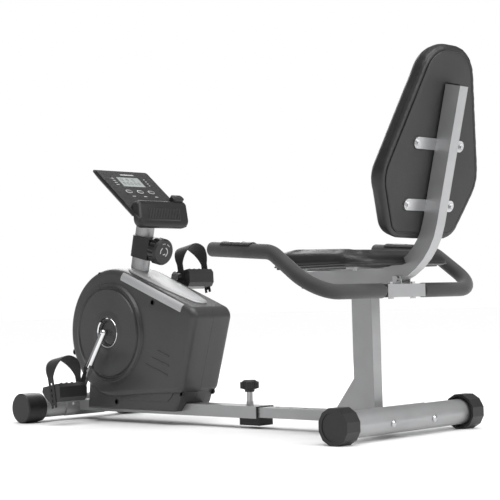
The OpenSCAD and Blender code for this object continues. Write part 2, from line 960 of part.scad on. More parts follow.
// Sweeps a section, drawn as [radius, along Y], round the flywheel from angle a
module at_rim(a, span) {
    translate([fly_x, 0, fly_z])
        rotate([90, 0, 0])
            rotate([0, 0, a])
                rotate_extrude(angle = span)
                    children();
}

// ---------- housing ----------

// Body of the housing on the +Y side, shrunk by g; widths count from the middle plane
module case_solid(g) {
    hull() {
        rod_y(hub_x, hub_z, case_r - g, 0, case_w - edge, $fn = 96);
        rod_y(hub_x, hub_z, case_r - edge - g * 0.4, 0, case_w - g, $fn = 96);
        rod_y(top_rear_x, top_rear_z, top_rear_r - g, 0, case_w - 1.8 * edge, $fn = 32);
        rod_y(top_rear_x - 1.6 * edge, top_rear_z - 0.4 * edge, top_rear_r - edge * 0.6 - g, 0,
            case_w - g, $fn = 32);
        rod_y(heel_x, heel_z, heel_r - g, 0, case_w - 1.8 * edge, $fn = 32);
        rod_y(heel_x - 1.4 * edge, heel_z + 10, heel_r - g, 0, case_w - g - 6, $fn = 32);
    }
    hull() {
        base_slab(g, 0, base_w - 8 - g);
        base_slab(g + 6, 0, base_w - g);
    }
}

module base_slab(g, y0, y1) {
    x0 = hub_x - 118;
    translate([0, y1, 0])
        rotate([90, 0, 0])
            linear_extrude(y1 - y0)
                polygon([
                    [x0 + g, case_low + (g > 0 ? g - 10 : 0)], [heel_x - 20 - g, case_low + (g > 0 ? g - 10 : 0)],
                    [heel_x - 4 - g, case_low + 22], [heel_x + 12 - g, heel_z - 10],
                    [heel_x - g, heel_z + 20], [x0 + 16 + g, heel_z + 20]
                ]);
}

module housing_half() {
    screws = [[hub_x - 34, hub_z + 155], [hub_x + 186, hub_z + 80], [hub_x - 150, hub_z - 52],
        [hub_x + 15, case_low + 16], [heel_x - 6, heel_z - 22]];
    difference() {
        case_solid(0);
        case_solid(case_wall);
        block([hub_x - 400, -1, -100], [hub_x + 500, join_gap, 700]);
        block([hub_x - 300, 0, case_low - 60], [hub_x + 400, beam_w / 2 + gap, beam_top + 1]);
        rod_y(hub_x, hub_z, ring_hole, 0, case_w + 10);
        on_mast()
            cylinder(r = mast_r + 2, h = 300);
        for (s = screws)
            rod_y(s.x, s.y, 3.5, case_w - 40, case_w + 20);
    }
}

module housing_left() {
    color("#3a3a3c")
        mirror([0, 1, 0])
            housing_half();
}

module housing_right() {
    color("#3a3a3c")
        housing_half();
}

// Children lie on the sloping top of the housing: x runs down to the rear
module on_slope() {
    translate([hub_x, 0, hub_z])
        rotate([0, 90 - slope_a, 0])
            translate([0, 0, case_r])
                children();
}

// Long silver cover round the foot of the mast
module top_cover() {
    length = 318;
    nose_r = 44;
    tail_r = 12;
    color("lightgray")
        difference() {
            on_slope()
                hull() {
                    translate([10, 0, cover_lift])
                        cylinder(r = nose_r, h = cover_t, $fn = 64);
                    translate([length * 0.55, 0, cover_lift])
                        cylinder(r = nose_r * 0.86, h = cover_t, $fn = 64);
                    translate([length - tail_r - 26, 0, cover_lift])
                        cylinder(r = tail_r, h = cover_t, $fn = 32);
                }
            on_mast()
                cylinder(r = mast_r + 0.3, h = 400);
        }
}

// Round crank cover on each side: outer ring, groove and disc with a dished middle
module crank_covers() {
    color("#333335")
        for (side = [-1, 1])
            mirror([0, side < 0 ? 1 : 0, 0])
                translate([hub_x, case_w + 0.1, hub_z])
                    rotate([-90, 0, 0])
                        rotate_extrude($fn = 96)
                            polygon([
                                [ring_hole, 0], [cover_r, 0], [cover_r - 4, 7], [disc_r + 6, 8],
                                [disc_r + 2, 4], [disc_r - 1, 4], [disc_r - 4, 9], [ring_r + 18, 9.5],
                                [ring_r + 4, 10.5], [ring_r + 0.2, 10.5], [ring_r + 0.2, 3],
                                [ring_hole, 3]
                            ]);
}

module hub_rings() {
    color("gainsboro")
        for (side = [-1, 1])
            mirror([0, side < 0 ? 1 : 0, 0])
                translate([hub_x, case_w + 3.15, hub_z])
                    rotate([-90, 0, 0])
                        rotate_extrude($fn = 96)
                            polygon([
                                [ring_r - 4, 0], [ring_r, 0], [ring_r, 6], [ring_r - 1.5, 8],
                                [ring_r - 4, 6]
                            ]);
}

module housing_screws() {
    screws = [[hub_x + 186, hub_z + 80], [hub_x + 15, case_low + 16]];
    color("black")
        for (side = [-1, 1], s = screws)
            mirror([0, side < 0 ? 1 : 0, 0])
                rod_y(s.x, s.y, 3.2, case_w - 30, s.y < 100 ? base_w - 4 : case_w - 6);
}

// ---------- console ----------

module on_face() {
    translate([face_x, 0, face_z])
        rotate([0, face_tilt, 0])
            children();
}

// Thin back shell with a neck that takes the top of the mast
module console_shell() {
    half = face_w / 2;
    color("#2c2c2e")
        difference() {
            union() {
                on_face()
                    hull() {
                        translate([-8, -half - 2, -face_t - 6])
                            cube([face_len + 8, face_w + 4, 5.9]);
                        translate([10, -half + 8, -face_t - shell_t])
                            cube([face_len - 20, face_w - 16, 4]);
                    }
                on_face()
                    translate([118, -38, -28])
                        cube([78, 76, 28 - face_t - 4]);
            }
            on_face()
                translate([14, -half + 10, -face_t - shell_t + 3])
                    cube([face_len - 28, face_w - 20, shell_t + 2]);
            on_mast()
                cylinder(r = mast_r + 0.1, h = mast_len + 0.2);
        }
}

// Front bezel with the ledge that a tablet stands on
module console_face() {
    half = face_w / 2;
    color("#3a3a3c")
        on_face()
            difference() {
                union() {
                    translate([0, -half, -face_t])
                        cube([face_len + 4, face_w, face_t]);
                    translate([0, tray_w / 2, 0])
                        rotate([90, 0, 0])
                            linear_extrude(tray_w)
                                polygon([
                                    [168, -face_t / 2], [172, 18], [178, 24], [187, 24],
                                    [233, -18], [230, -22], [222, -22], [202, -6], [202, -face_t / 2]
                                ]);
                }
                translate([lcd_x - lcd_len / 2, -lcd_w / 2, -face_t - 1])
                    cube([lcd_len, lcd_w, face_t + 2]);
                for (i = [-1:1])
                    translate([button_x, i * button_pitch, -face_t - 1])
                        cylinder(r = button_r + 0.4, h = face_t + 2);
            }
}

module lcd_lens() {
    color("lightgray")
        on_face()
            translate([lcd_x - lcd_len / 2 + 0.2, -lcd_w / 2 + 0.2, -face_t])
                cube([lcd_len - 0.4, lcd_w - 0.4, face_t - 0.8]);
}

module button(i) {
    color("gray")
        on_face()
            translate([button_x, i * button_pitch, -face_t - 4])
                cylinder(r = button_r, h = face_t + 5.5);
}

// ---------- pull pin ----------

module pull_pin() {
    color("gainsboro")
        translate([pin_x, 0, slide_top + gap])
            cylinder(r = pin_r, h = knob_low - slide_top - gap);
}

module pull_knob() {
    lobes = 6;
    big = 20;
    color("black")
        translate([pin_x, 0, knob_low]) {
            rotate_extrude()
                polygon([[0, 0], [12, 0], [13, 6], [big, 8], [big, 26], [14, 30], [0, 30]]);
            for (i = [0:lobes - 1])
                rotate([0, 0, i * 360 / lobes + 11])
                    translate([big - 1, 0, 9])
                        cylinder(r = 7, h = 16);
        }
}

// Return spring, drawn as its round outline between the boss and the knob's sleeve
module pin_spring() {
    color("gainsboro")
        translate([pin_x, 0, beam_top + boss_h])
            difference() {
                cylinder(r = pin_r + 2.6, h = knob_low - beam_top - boss_h);
                translate([0, 0, -1])
                    cylinder(r = pin_r + 0.6, h = 60);
            }
}

// ---------- seat carriage ----------

saddle_x = rear_x - foot_r - saddle_t;

module slide_tube() {
    color("silver")
        difference() {
            union() {
                block([slide_x0, -slide_w / 2, slide_low], [saddle_x + 4, slide_w / 2, slide_top]);
                saddle(rear_x, rear_saddle_w, -1);
            }
            block([slide_x0 - 1, -slide_w / 2 + tube_wall, slide_low + tube_wall],
                [saddle_x - 2, slide_w / 2 - tube_wall, slide_top - tube_wall]);
            rod_y(rear_x, axis_z, foot_r + 0.05, -slide_w, slide_w);
            foot_bolt_holes(rear_x, rear_bolt_y, rear_bolt_z);
            for (i = [-3:4])
                translate([pin_x + i * slot_pitch, 0, axis_z])
                    cylinder(r = pin_r + 0.5, h = slide_h);
        }
}

// Upright post with a folded gusset in front of it
module seat_post() {
    gusset_l = 62;
    gusset_h = 78;
    x0 = post_x - post_d / 2;
    z0 = slide_top + 0.05;
    color("darkgray") {
        translate([post_x, 0, z0])
            linear_extrude(rail_top - rail_d - z0 - 0.05)
                tube_section(0, 0, post_d, rail_w, rail_wall);
        difference() {
            translate([0, rail_w / 2, 0])
                rotate([90, 0, 0])
                    linear_extrude(rail_w)
                        polygon([[x0 - gusset_l, z0], [x0 + 1, z0], [x0 + 1, z0 + gusset_h]]);
            translate([0, rail_w / 2 - rail_wall, 0])
                rotate([90, 0, 0])
                    linear_extrude(rail_w - 2 * rail_wall)
                        polygon([[x0 - gusset_l + 8, z0 - 1], [x0 - 0.02, z0 - 1],
                            [x0 - 0.02, z0 + gusset_h - 6]]);
        }
    }
}

module rear_stabilizer_tube() {
    color("silver")
        difference() {
            rod_y(rear_x, axis_z, foot_r, -rear_tube_w / 2, rear_tube_w / 2);
            rod_y(rear_x, axis_z, foot_r - tube_wall, -rear_tube_w, rear_tube_w);
            foot_bolt_holes(rear_x, rear_bolt_y, rear_bolt_z);
        }
}

// Where the rail's bend starts and ends, on its centre line
turn_up = 90 - back_lean;
inner_r = bend_r - rail_d / 2;
bend_len = inner_r * tan(turn_up / 2);
bend_x0 = back_x - bend_len;
bend_z = rail_top + inner_r;

// Children are drawn in the backrest's frame: x to the rear, z up the slope,
// with the origin where the rail's top line meets the upright's front face
module on_back() {
    translate([back_x, 0, rail_top])
        rotate([0, back_lean, 0])
            children();
}

// Centre line of the seat rail, from its front end to the top of the upright
up_dir = [sin(back_lean), 0, cos(back_lean)];
down_dir = [cos(back_lean), 0, -sin(back_lean)];
corner_p = [back_x, 0, rail_top] + (rail_d / 2) * (down_dir - up_dir * tan(turn_up / 2));
function rail_line(over) = centre_line([
    [rail_x0 - over, 0, rail_top - rail_d / 2],
    corner_p,
    corner_p + up_dir * (upright_len + over + rail_d / 2 * tan(turn_up / 2))
], [0, bend_r, 0]);

// One rectangular tube: flat under the seat, then bent up into the backrest upright
module seat_rail() {
    color("silver")
        difference() {
            sweep(rail_line(0), [0, 0, 1], oblong(rail_d, rail_w));
            sweep(rail_line(1), [0, 0, 1], oblong(rail_d - 2 * rail_wall, rail_w - 2 * rail_wall));
            for (dx = rail_hole_dx)
                translate([rail_x0 + dx, 0, rail_top - rail_d - 1])
                    cylinder(r = 3.5, h = rail_d + 2);
            rod_y(cross_x, clamp_bolt_z, 3.3, -rail_w, rail_w);
        }
}

module rail_plugs() {
    color("black") {
        block([rail_x0 - plug_t, -rail_w / 2, rail_top - rail_d],
            [rail_x0 - 0.02, rail_w / 2, rail_top]);
        on_back()
            translate([0, -rail_w / 2, upright_len + 0.02])
                cube([rail_d, rail_w, plug_t]);
    }
}

// Steel straps: two under the seat board and two across the backrest board
module seat_brackets() {
    color("gainsboro") {
        for (dx = rail_hole_dx)
            difference() {
                translate([rail_x0 + dx, 0, rail_top + 0.02])
                    linear_extrude(bracket_h - 0.04)
                        rounded_rect(200, 34, 12);
                for (y = [-80, 0, 80])
                    translate([rail_x0 + dx, y, rail_top - 1])
                        cylinder(r = 3.5, h = bracket_h + 2);
            }
        on_back()
            for (v = strap_v)
                difference() {
                    translate([-strap_t, 0, v])
                        rotate([0, 90, 0])
                            linear_extrude(strap_t - 0.02)
                                rounded_rect(2 * strap_half, 26, 12.9);
                    for (side = [-1, 1])
                        translate([-strap_t - 1, side * strap_hole, v])
                            rotate([0, 90, 0])
                                cylinder(r = 3.5, h = strap_t + 2);
                }
    }
}

// Outline of the seat: rounded, wider across the hips than at the thighs
module seat_outline(g) {
    corner = 70;
    translate([seat_x, 0])
        rounded_rect(seat_width - 2 * g, seat_len - 2 * g, corner - g);
}

module seat_board() {
    board_x1 = bend_x0 + 28;
    color("saddlebrown")
        difference() {
            translate([0, 0, rail_top + bracket_h])
                linear_extrude(board_t - 0.3)
                    difference() {
                        seat_outline(14);
                        translate([board_x1, -seat_width])
                            square(2 * seat_width);
                    }
            for (dx = rail_hole_dx, y = [-80, 0, 80])
                translate([rail_x0 + dx, y, rail_top + 2])
                    cylinder(r = 3.4, h = board_t - 4);
        }
}

// Seat cushion: a rounded slab, recessed underneath at the rear for the rising rail
module seat_cushion() {
    color("#202022")
        difference() {
            hull() {
                translate([0, 0, seat_low])
                    linear_extrude(seat_t - 12)
                        seat_outline(0, $fn = 48);
                translate([0, 0, seat_low])
                    linear_extrude(seat_t)
                        seat_outline(12, $fn = 48);
            }
            block([bend_x0 + 42, -rail_w / 2 - 3, seat_low - 1],
                [seat_x + seat_len, rail_w / 2 + 3, rail_top + 32]);
        }
}

// Half widths of the backrest at heights along its slope, as parts of its full size
back_form = [[0, 0.53], [0.035, 0.67], [0.09, 0.8], [0.2, 0.94], [0.3, 1], [0.42, 0.99],
    [0.55, 0.86], [0.7, 0.7], [0.82, 0.58], [0.9, 0.47], [0.955, 0.33], [0.985, 0.18], [1, 0]];

module back_outline(g) {
    half = back_w / 2 - g;
    high = back_h - 2 * g;
    right = [for (p = back_form) [half * p[1], back_v0 + g + high * p[0]]];
    left = [for (i = [len(right) - 2:-1:0]) [-right[i].x, right[i].y]];
    polygon(concat(right, left));
}

// Stands an outline drawn in the slope's plane up on the backrest, from x0 to x1
module stand_back(x0, x1) {
    on_back()
        translate([x0, 0, 0])
            rotate([90, 0, 90])
                linear_extrude(x1 - x0)
                    children();
}

module back_board() {
    color("saddlebrown")
        difference() {
            stand_back(-strap_t - board_t, -strap_t)
                back_outline(16);
            on_back()
                for (v = strap_v, side = [-1, 1])
                    translate([-strap_t - board_t + 1, side * strap_hole, v])
                        rotate([0, 90, 0])
                            cylinder(r = 3.4, h = board_t + 2);
        }
}

module back_cushion() {
    deep = -strap_t - board_t - gap;
    color("#202022")
        hull() {
            stand_back(deep - back_t + 22, deep)
                back_outline(0);
            stand_back(deep - back_t + 10, deep)
                back_outline(14);
        }
}

// ---------- handlebar ----------

module handlebar_tube() {
    color("gray")
        difference() {
            sweep(centre_line(bar_path(6), bar_bends), [0, 1, 0], ring(bar_r, round_sides));
            sweep(centre_line(bar_path(5), bar_bends), [0, 1, 0], ring(bar_r - 2, round_sides));
            for (y = [-40, 40])
                translate([cross_x, y, cross_z - 30])
                    cylinder(r = 3.3, h = 60);
        }
}

// Foam sleeves from the tips to the clamp
module foam_grips() {
    cut = clamp_half + 3;
    color("#2b2b2d")
        for (side = [0, 1])
            mirror([0, side, 0])
                difference() {
                    sweep(centre_line(grip_path(0, -cut), grip_bends), [0, 1, 0],
                        ring(grip_r, round_sides));
                    sweep(centre_line(grip_path(5.5, 1 - cut), grip_bends), [0, 1, 0],
                        ring(grip_core, round_sides));
                }
}

// Hand pulse plates and their housings, laid on top of each grip
module pulse_sensors() {
    fall = atan2(grip_rise, bend_x - tip_x);
    color("gainsboro")
        for (side = [-1, 1])
            translate([tip_x, side * bar_y, grip_z])
                rotate([0, fall, 0])
                    translate([88, 0, 0])
                        difference() {
                            rotate([0, 90, 0])
                                rotate([0, 0, 130])
                                    rotate_extrude(angle = 100)
                                        translate([grip_r + 0.1, -46])
                                            square([3, 92]);
                            translate([-10, -40, 0])
                                cube([2, 80, 40]);
                        }
}

// Folded sheet clamp under the rail that holds the handlebar
module handlebar_clamp() {
    t = 2.5;
    half = clamp_half;
    r = bar_r + 0.05;
    wide = rail_w / 2 + 0.1;
    cheek_z = clamp_bolt_z;
    color("gainsboro") {
        difference() {
            union() {
                block([cross_x - r - t, -half, cross_z - r - t],
                    [cross_x + r + t, half, cross_z + r + t]);
                for (side = [0, 1])
                    mirror([0, side, 0])
                        block([cross_x - r, wide, cross_z + r], [cross_x + r, wide + t, cheek_z + 6]);
            }
            rod_y(cross_x, cheek_z, 3.3, -40, 40);
            rod_y(cross_x, cross_z, r, -half - 1, half + 1);
            for (y = [-40, 40])
                translate([cross_x, y, cross_z - 30])
                    cylinder(r = 3.3, h = 60);
        }
    }
}

// Screws, washers and nuts of the seat carriage
module seat_bolts() {
    color("gainsboro") {
        rise = rear_bolt_z - axis_z;
        reach = sqrt(foot_r * foot_r - rise * rise);
        for (side = [-1, 1])
            carriage_bolt(side * rear_bolt_y, rear_bolt_z,
                rear_x + reach + 1.2, rear_x - reach - saddle_t - 1.2);
        rod_y(cross_x, clamp_bolt_z, 3, -rail_w / 2 - 6, rail_w / 2 + 6);
        for (side = [0, 1])
            mirror([0, side, 0])
                rod_y(cross_x, clamp_bolt_z, 6, rail_w / 2 + 2.7, rail_w / 2 + 7);
        for (y = [-40, 40]) {
            translate([cross_x, y, cross_z - bar_r - 6]) {
                cylinder(r = 3, h = 2 * bar_r + 12);
                cylinder(r = 6.5, h = 3.3);
            }
            translate([cross_x, y, cross_z + bar_r + 2.6])
                cylinder(r = 6, h = 5, $fn = 6);
        }
        on_back()
            for (v = strap_v, side = [-1, 1])
                translate([0, side * strap_hole, v])
                    rotate([0, 90, 0]) {
                        translate([0, 0, -10])
                            cylinder(r = 3, h = 11);
                        cylinder(r = 8, h = 1.2);
                        translate([0, 0, 1.2])
                            cylinder(r = 5.5, h = 3.5, $fn = 6);
                    }
        for (dx = rail_hole_dx) {
            translate([rail_x0 + dx, 0, rail_top - rail_d - 5]) {
                cylinder(r = 3, h = rail_d + 12);
                cylinder(r = 6, h = 4.9);
            }
            for (y = [-80, 80])
                translate([rail_x0 + dx, y, rail_top - 4]) {
                    cylinder(r = 3, h = 10);
                    cylinder(r = 6, h = 3.9);
                }
        }
    }
}

main_beam();
slide_bushing();
beam_foot();
front_stabilizer_tube();
front_bolts();
front_end_plugs();
upright_frame();
bearing_cups();
mast();
tension_collar();
tension_cable();
housing_left();
housing_right();
top_cover();
crank_covers();
hub_rings();
housing_screws();
flywheel_bracket();
flywheel_axle();
drive_belt();
idler_arm();
console_shell();
console_face();
lcd_lens();
crank_arms();
drive_pulley();
pedal_axles();
flywheel();
idler_wheel();
magnet_bracket();
color("black") at_pedal(-1) pedal_shape();  // pedal_left
color("black") at_pedal(-1) strap_shape();  // strap_left
color("black") at_pedal(1) pedal_shape();  // pedal_right
color("black") at_pedal(1) strap_shape();  // strap_right
tension_knob();
pull_knob();
pull_pin();
pin_spring();
button(-1);  // button_left
button(0);  // button_middle
button(1);  // button_right
transport_wheel(-1);  // transport_wheel_left
transport_wheel(1);  // transport_wheel_right
levelling_cap(-1);  // levelling_cap_left
levelling_cap(1);  // levelling_cap_right
slide_tube();
seat_post();
rear_stabilizer_tube();
seat_rail();
rail_plugs();
seat_brackets();
seat_board();
seat_cushion();
back_board();
back_cushion();
handlebar_tube();
foam_grips();
pulse_sensors();
handlebar_clamp();
seat_bolts();
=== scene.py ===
# %% [markdown]
# # A recumbent exercise bike
# The engineering model gives every hard piece its place and size. This lesson loads it as a fixed
# frame, gives each piece a finish made of nodes, and builds the pieces whose look needs more than
# the plain solids: the moulded drive housing, the padded seat and backrest, the foam grips, the
# silver cover and the console's small parts.

# %% Load the frame
import json
import math

import bmesh
import bpy
from mathutils import Matrix, Vector


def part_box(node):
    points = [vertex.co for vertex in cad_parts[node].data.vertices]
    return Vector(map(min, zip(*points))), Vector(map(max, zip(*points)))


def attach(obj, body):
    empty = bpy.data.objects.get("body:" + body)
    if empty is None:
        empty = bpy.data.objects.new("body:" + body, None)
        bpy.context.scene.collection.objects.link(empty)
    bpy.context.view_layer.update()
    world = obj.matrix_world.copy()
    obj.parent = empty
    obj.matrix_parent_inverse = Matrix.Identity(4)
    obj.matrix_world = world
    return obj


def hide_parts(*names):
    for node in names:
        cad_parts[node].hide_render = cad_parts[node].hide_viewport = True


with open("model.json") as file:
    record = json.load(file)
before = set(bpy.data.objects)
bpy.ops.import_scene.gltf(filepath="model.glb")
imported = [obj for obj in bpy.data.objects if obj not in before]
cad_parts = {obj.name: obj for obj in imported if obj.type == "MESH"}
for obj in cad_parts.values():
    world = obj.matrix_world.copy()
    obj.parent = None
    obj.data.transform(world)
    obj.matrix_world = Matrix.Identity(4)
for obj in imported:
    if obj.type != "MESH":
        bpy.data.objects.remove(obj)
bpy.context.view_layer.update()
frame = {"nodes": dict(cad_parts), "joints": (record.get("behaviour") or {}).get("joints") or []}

nodes = frame["nodes"]
joints = {j["name"]: j for j in frame["joints"]}

# %% [markdown]
# ## Reference points
# Every place is read from the frame. The front stabilizer's axis is the zero of the lengths below,
# because a maker measures such a bike from its front foot. `at` turns a place in millimetres from
# that axis into metres in the frame.

# %% Reference points
foot_low, foot_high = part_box("front_stabilizer_tube")
FRONT_X = (foot_low[0] + foot_high[0]) / 2
HUB = Vector(joints["crank_spin"]["pos_m"])
MM = 0.001


def at(x, y, z):
    """A place in millimetres behind the front foot, in metres in the frame."""
    return Vector((FRONT_X + x * MM, y * MM, z * MM))


def from_hub(x, y, z):
    """A place in millimetres from the crank's axis, in metres in the frame."""
    return HUB + Vector((x, y, z)) * MM


print("front foot axis", round(FRONT_X, 4), "crank axis", [round(v, 4) for v in HUB])

# %% [markdown]
# ## Finishes
# A finish on a real machine is never one flat colour. Powder coat has a fine orange peel, moulded
# plastic has a spark-eroded grain, vinyl has a leather grain and foam has open pores. One helper
# builds them all from the same three ideas: a slow noise that shifts the colour, a second noise
# that shifts the roughness, and a fine texture that drives the bump. Numbers that are the same all
# over the surface sit on the shader's own sockets.


# %% Finish helper
def finish_material(name, dark, light, rough, grain, bump, metallic=0.0, coat=0.0, sheen=0.0,
                    patch=9.0, cells=False, detail=4.0):
    """A Principled material whose colour, roughness and bump come from noise in Object space."""
    mat = bpy.data.materials.new(name)
    mat.use_nodes = True
    tree = mat.node_tree
    shader = tree.nodes["Principled BSDF"]
    shader.inputs["Metallic"].default_value = metallic
    shader.inputs["Coat Weight"].default_value = coat
    shader.inputs["Sheen Weight"].default_value = sheen
    coords = tree.nodes.new("ShaderNodeTexCoord")
    mapping = tree.nodes.new("ShaderNodeMapping")
    tree.links.new(coords.outputs["Object"], mapping.inputs["Vector"])

    slow = tree.nodes.new("ShaderNodeTexNoise")
    slow.inputs["Scale"].default_value = patch
    slow.inputs["Detail"].default_value = 6.0
    ramp = tree.nodes.new("ShaderNodeValToRGB")
    ramp.color_ramp.elements[0].position = 0.32
    ramp.color_ramp.elements[1].position = 0.68
    ramp.color_ramp.elements[0].color = (*dark, 1.0)
    ramp.color_ramp.elements[1].color = (*light, 1.0)
    tree.links.new(mapping.outputs["Vector"], slow.inputs["Vector"])
    tree.links.new(slow.outputs["Fac"], ramp.inputs["Fac"])
    tree.links.new(ramp.outputs["Color"], shader.inputs["Base Color"])

    wear = tree.nodes.new("ShaderNodeTexNoise")
    wear.inputs["Scale"].default_value = patch * 4.0
    spread = tree.nodes.new("ShaderNodeMapRange")
    spread.inputs["To Min"].default_value = rough[0]
    spread.inputs["To Max"].default_value = rough[1]
    tree.links.new(mapping.outputs["Vector"], wear.inputs["Vector"])
    tree.links.new(wear.outputs["Fac"], spread.inputs["Value"])
    tree.links.new(spread.outputs["Result"], shader.inputs["Roughness"])

    if cells:
        fine = tree.nodes.new("ShaderNodeTexVoronoi")
        height = fine.outputs["Distance"]
    else:
        fine = tree.nodes.new("ShaderNodeTexNoise")
        fine.inputs["Detail"].default_value = detail
        height = fine.outputs["Fac"]
    fine.inputs["Scale"].default_value = grain
    relief = tree.nodes.new("ShaderNodeBump")
    relief.inputs["Strength"].default_value = bump
    relief.inputs["Distance"].default_value = 0.0006
    tree.links.new(mapping.outputs["Vector"], fine.inputs["Vector"])
    tree.links.new(height, relief.inputs["Height"])
    tree.links.new(relief.outputs["Normal"], shader.inputs["Normal"])
    return mat


# %% The bike's finishes
def grey(v):
    return (v, v * 1.005, v * 1.02)


silver_coat = finish_material("silver_powder_coat", grey(0.34), grey(0.39), (0.34, 0.44), 900, 0.12,
                              metallic=0.6, coat=0.1)
dark_coat = finish_material("black_powder_coat", grey(0.018), grey(0.03), (0.4, 0.55), 900, 0.2)
zinc = finish_material("bright_zinc", grey(0.52), grey(0.56), (0.3, 0.36), 500, 0.03, metallic=1.0)
chrome = finish_material("chrome_plate", grey(0.72), grey(0.8), (0.06, 0.12), 300, 0.03, metallic=1.0)
bare_steel = finish_material("machined_steel", grey(0.4), grey(0.5), (0.3, 0.42), 700, 0.2,
                             metallic=1.0)
cast_iron = finish_material("cast_iron", grey(0.12), grey(0.18), (0.5, 0.65), 400, 0.5, metallic=0.8)
housing_plastic = finish_material("housing_plastic", grey(0.036), grey(0.046), (0.34, 0.42), 1400, 0.16,
                                  patch=6.0)
cover_plastic = finish_material("crank_cover_plastic", grey(0.034), grey(0.044), (0.3, 0.38), 1400, 0.14)
black_plastic = finish_material("black_moulding", grey(0.009), grey(0.013), (0.38, 0.46), 1300, 0.1)
silver_plastic = finish_material("silver_painted_plastic", grey(0.4), grey(0.45), (0.42, 0.5), 1200,
                                 0.06, metallic=0.3, coat=0.1)
rubber = finish_material("moulded_rubber", grey(0.009), grey(0.015), (0.55, 0.7), 800, 0.3)
foam = finish_material("grip_foam", grey(0.012), grey(0.02), (0.62, 0.78), 620, 0.55, sheen=0.25,
                       cells=True)
vinyl = finish_material("grained_vinyl", grey(0.008), grey(0.013), (0.36, 0.48), 430, 0.5, patch=14.0,
                        cells=True)
back_cloth = finish_material("backrest_back_cover", grey(0.015), grey(0.022), (0.5, 0.62), 520, 0.45,
                             cells=True)
button_grey = finish_material("button_plastic", grey(0.05), grey(0.07), (0.35, 0.45), 900, 0.1)
mark_grey = finish_material("printed_marks", grey(0.42), grey(0.5), (0.45, 0.55), 900, 0.05)
glass_pale = finish_material("display_window", (0.30, 0.33, 0.32), (0.36, 0.39, 0.375), (0.16, 0.22),
                             600, 0.03, coat=0.5)
print("finishes", len(bpy.data.materials))

# %% [markdown]
# ## Finishes on the carried-over pieces
# Most hard pieces already have the right shape, so they only need their finish. A small bevel
# modifier softens their edges, because no stamped, moulded or welded edge is knife sharp, and the
# highlight that runs along it is what makes it read as real.

# %% Finish each carried-over node
finish_of = {
    silver_coat: ["main_beam", "front_stabilizer_tube", "mast", "slide_tube", "seat_post",
                  "rear_stabilizer_tube", "seat_rail", "handlebar_tube"],
    dark_coat: ["upright_frame", "flywheel_bracket", "housing_screws"],
    zinc: ["front_bolts", "pull_pin", "seat_brackets", "handlebar_clamp", "seat_bolts"],
    chrome: ["hub_rings", "crank_arms"],
    bare_steel: ["bearing_cups", "flywheel_axle", "idler_arm", "pedal_axles", "magnet_bracket",
                 "pin_spring"],
    cast_iron: ["flywheel"],
    cover_plastic: ["crank_covers"],
    housing_plastic: ["housing_left", "housing_right"],
    black_plastic: ["slide_bushing", "front_end_plugs", "tension_collar", "drive_pulley",
                    "idler_wheel", "pedal_left", "pedal_right", "tension_knob", "pull_knob",
                    "transport_wheel_left", "transport_wheel_right", "levelling_cap_left",
                    "levelling_cap_right", "rail_plugs", "console_shell", "console_face", "pulse_sensors"],
    rubber: ["beam_foot", "tension_cable", "drive_belt", "strap_left", "strap_right"],
    glass_pale: ["lcd_lens"],
    button_grey: ["button_left", "button_middle", "button_right"],
    silver_plastic: ["top_cover"],
    foam: ["foam_grips"],
    vinyl: ["seat_cushion", "back_cushion"],
    back_cloth: ["seat_board", "back_board"],
}
EDGE = {"levelling_cap_left": 2.0, "levelling_cap_right": 2.0, "transport_wheel_left": 1.5,
        "transport_wheel_right": 1.5, "tension_knob": 1.6, "pull_knob": 1.8, "seat_rail": 2.4,
        "seat_post": 2.0, "main_beam": 1.2, "slide_tube": 1.2, "pedal_left": 1.5,
        "pedal_right": 1.5, "console_face": 1.5, "console_shell": 2.0, "tension_collar": 2.0,
        "crank_covers": 0.8, "crank_arms": 2.5, "beam_foot": 2.0, "handlebar_clamp": 1.0,
        "rail_plugs": 1.0, "seat_brackets": 0.7, "strap_left": 0.6, "strap_right": 0.6}
for material, names in finish_of.items():
    for name in names:
        piece = nodes[name]
        if not piece.material_slots:
            piece.data.materials.append(material)
        for spot in piece.material_slots:
            spot.material = material
        if name in EDGE:
            soften = piece.modifiers.new("soft_edges", "BEVEL")
            soften.width = EDGE[name] * MM
            soften.segments = 3
            soften.limit_method = "ANGLE"
            soften.angle_limit = math.radians(40)
            soften.harden_normals = False
print("carried over", sum(len(n) for n in finish_of.values()), "of", len(nodes))

# %% [markdown]
# ## Helpers for the new pieces
# Each new piece is a bmesh that ends as an object at the origin, with its place in its mesh. Many
# of them share one idea: an outline wrapped round a few circles, stacked in rings that shrink as
# they rise, and joined by bridging. `rings_solid` does that for the housing, the covers, the
# cushions and the buttons.


# %% Make a piece
def make_piece(name, bm, body, material, stands_for=(), smooth_angle=35, subdivide=0):
    """Turns a bmesh into a finished piece that rides on a body."""
    bmesh.ops.recalc_face_normals(bm, faces=bm.faces)
    mesh = bpy.data.meshes.new(name)
    bm.to_mesh(mesh)
    bm.free()
    for face in mesh.polygons:
        face.use_smooth = True
    mesh.set_sharp_from_angle(angle=math.radians(smooth_angle))
    piece = bpy.data.objects.new(name, mesh)
    bpy.context.scene.collection.objects.link(piece)
    mesh.materials.append(material)
    if subdivide:
        round_off = piece.modifiers.new("round_off", "SUBSURF")
        round_off.levels = round_off.render_levels = subdivide
    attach(piece, body)
    if stands_for:
        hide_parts(*stands_for)
    return piece


def wrap_point(circles, shrink, angle):
    """The point of the outline wrapped round the circles that faces one way."""
    look = Vector((math.cos(angle), math.sin(angle)))
    far = max(circles, key=lambda c: c[0] * look.x + c[1] * look.y + c[2])
    return Vector((far[0], far[1])) + look * max(far[2] - shrink, 0.5)


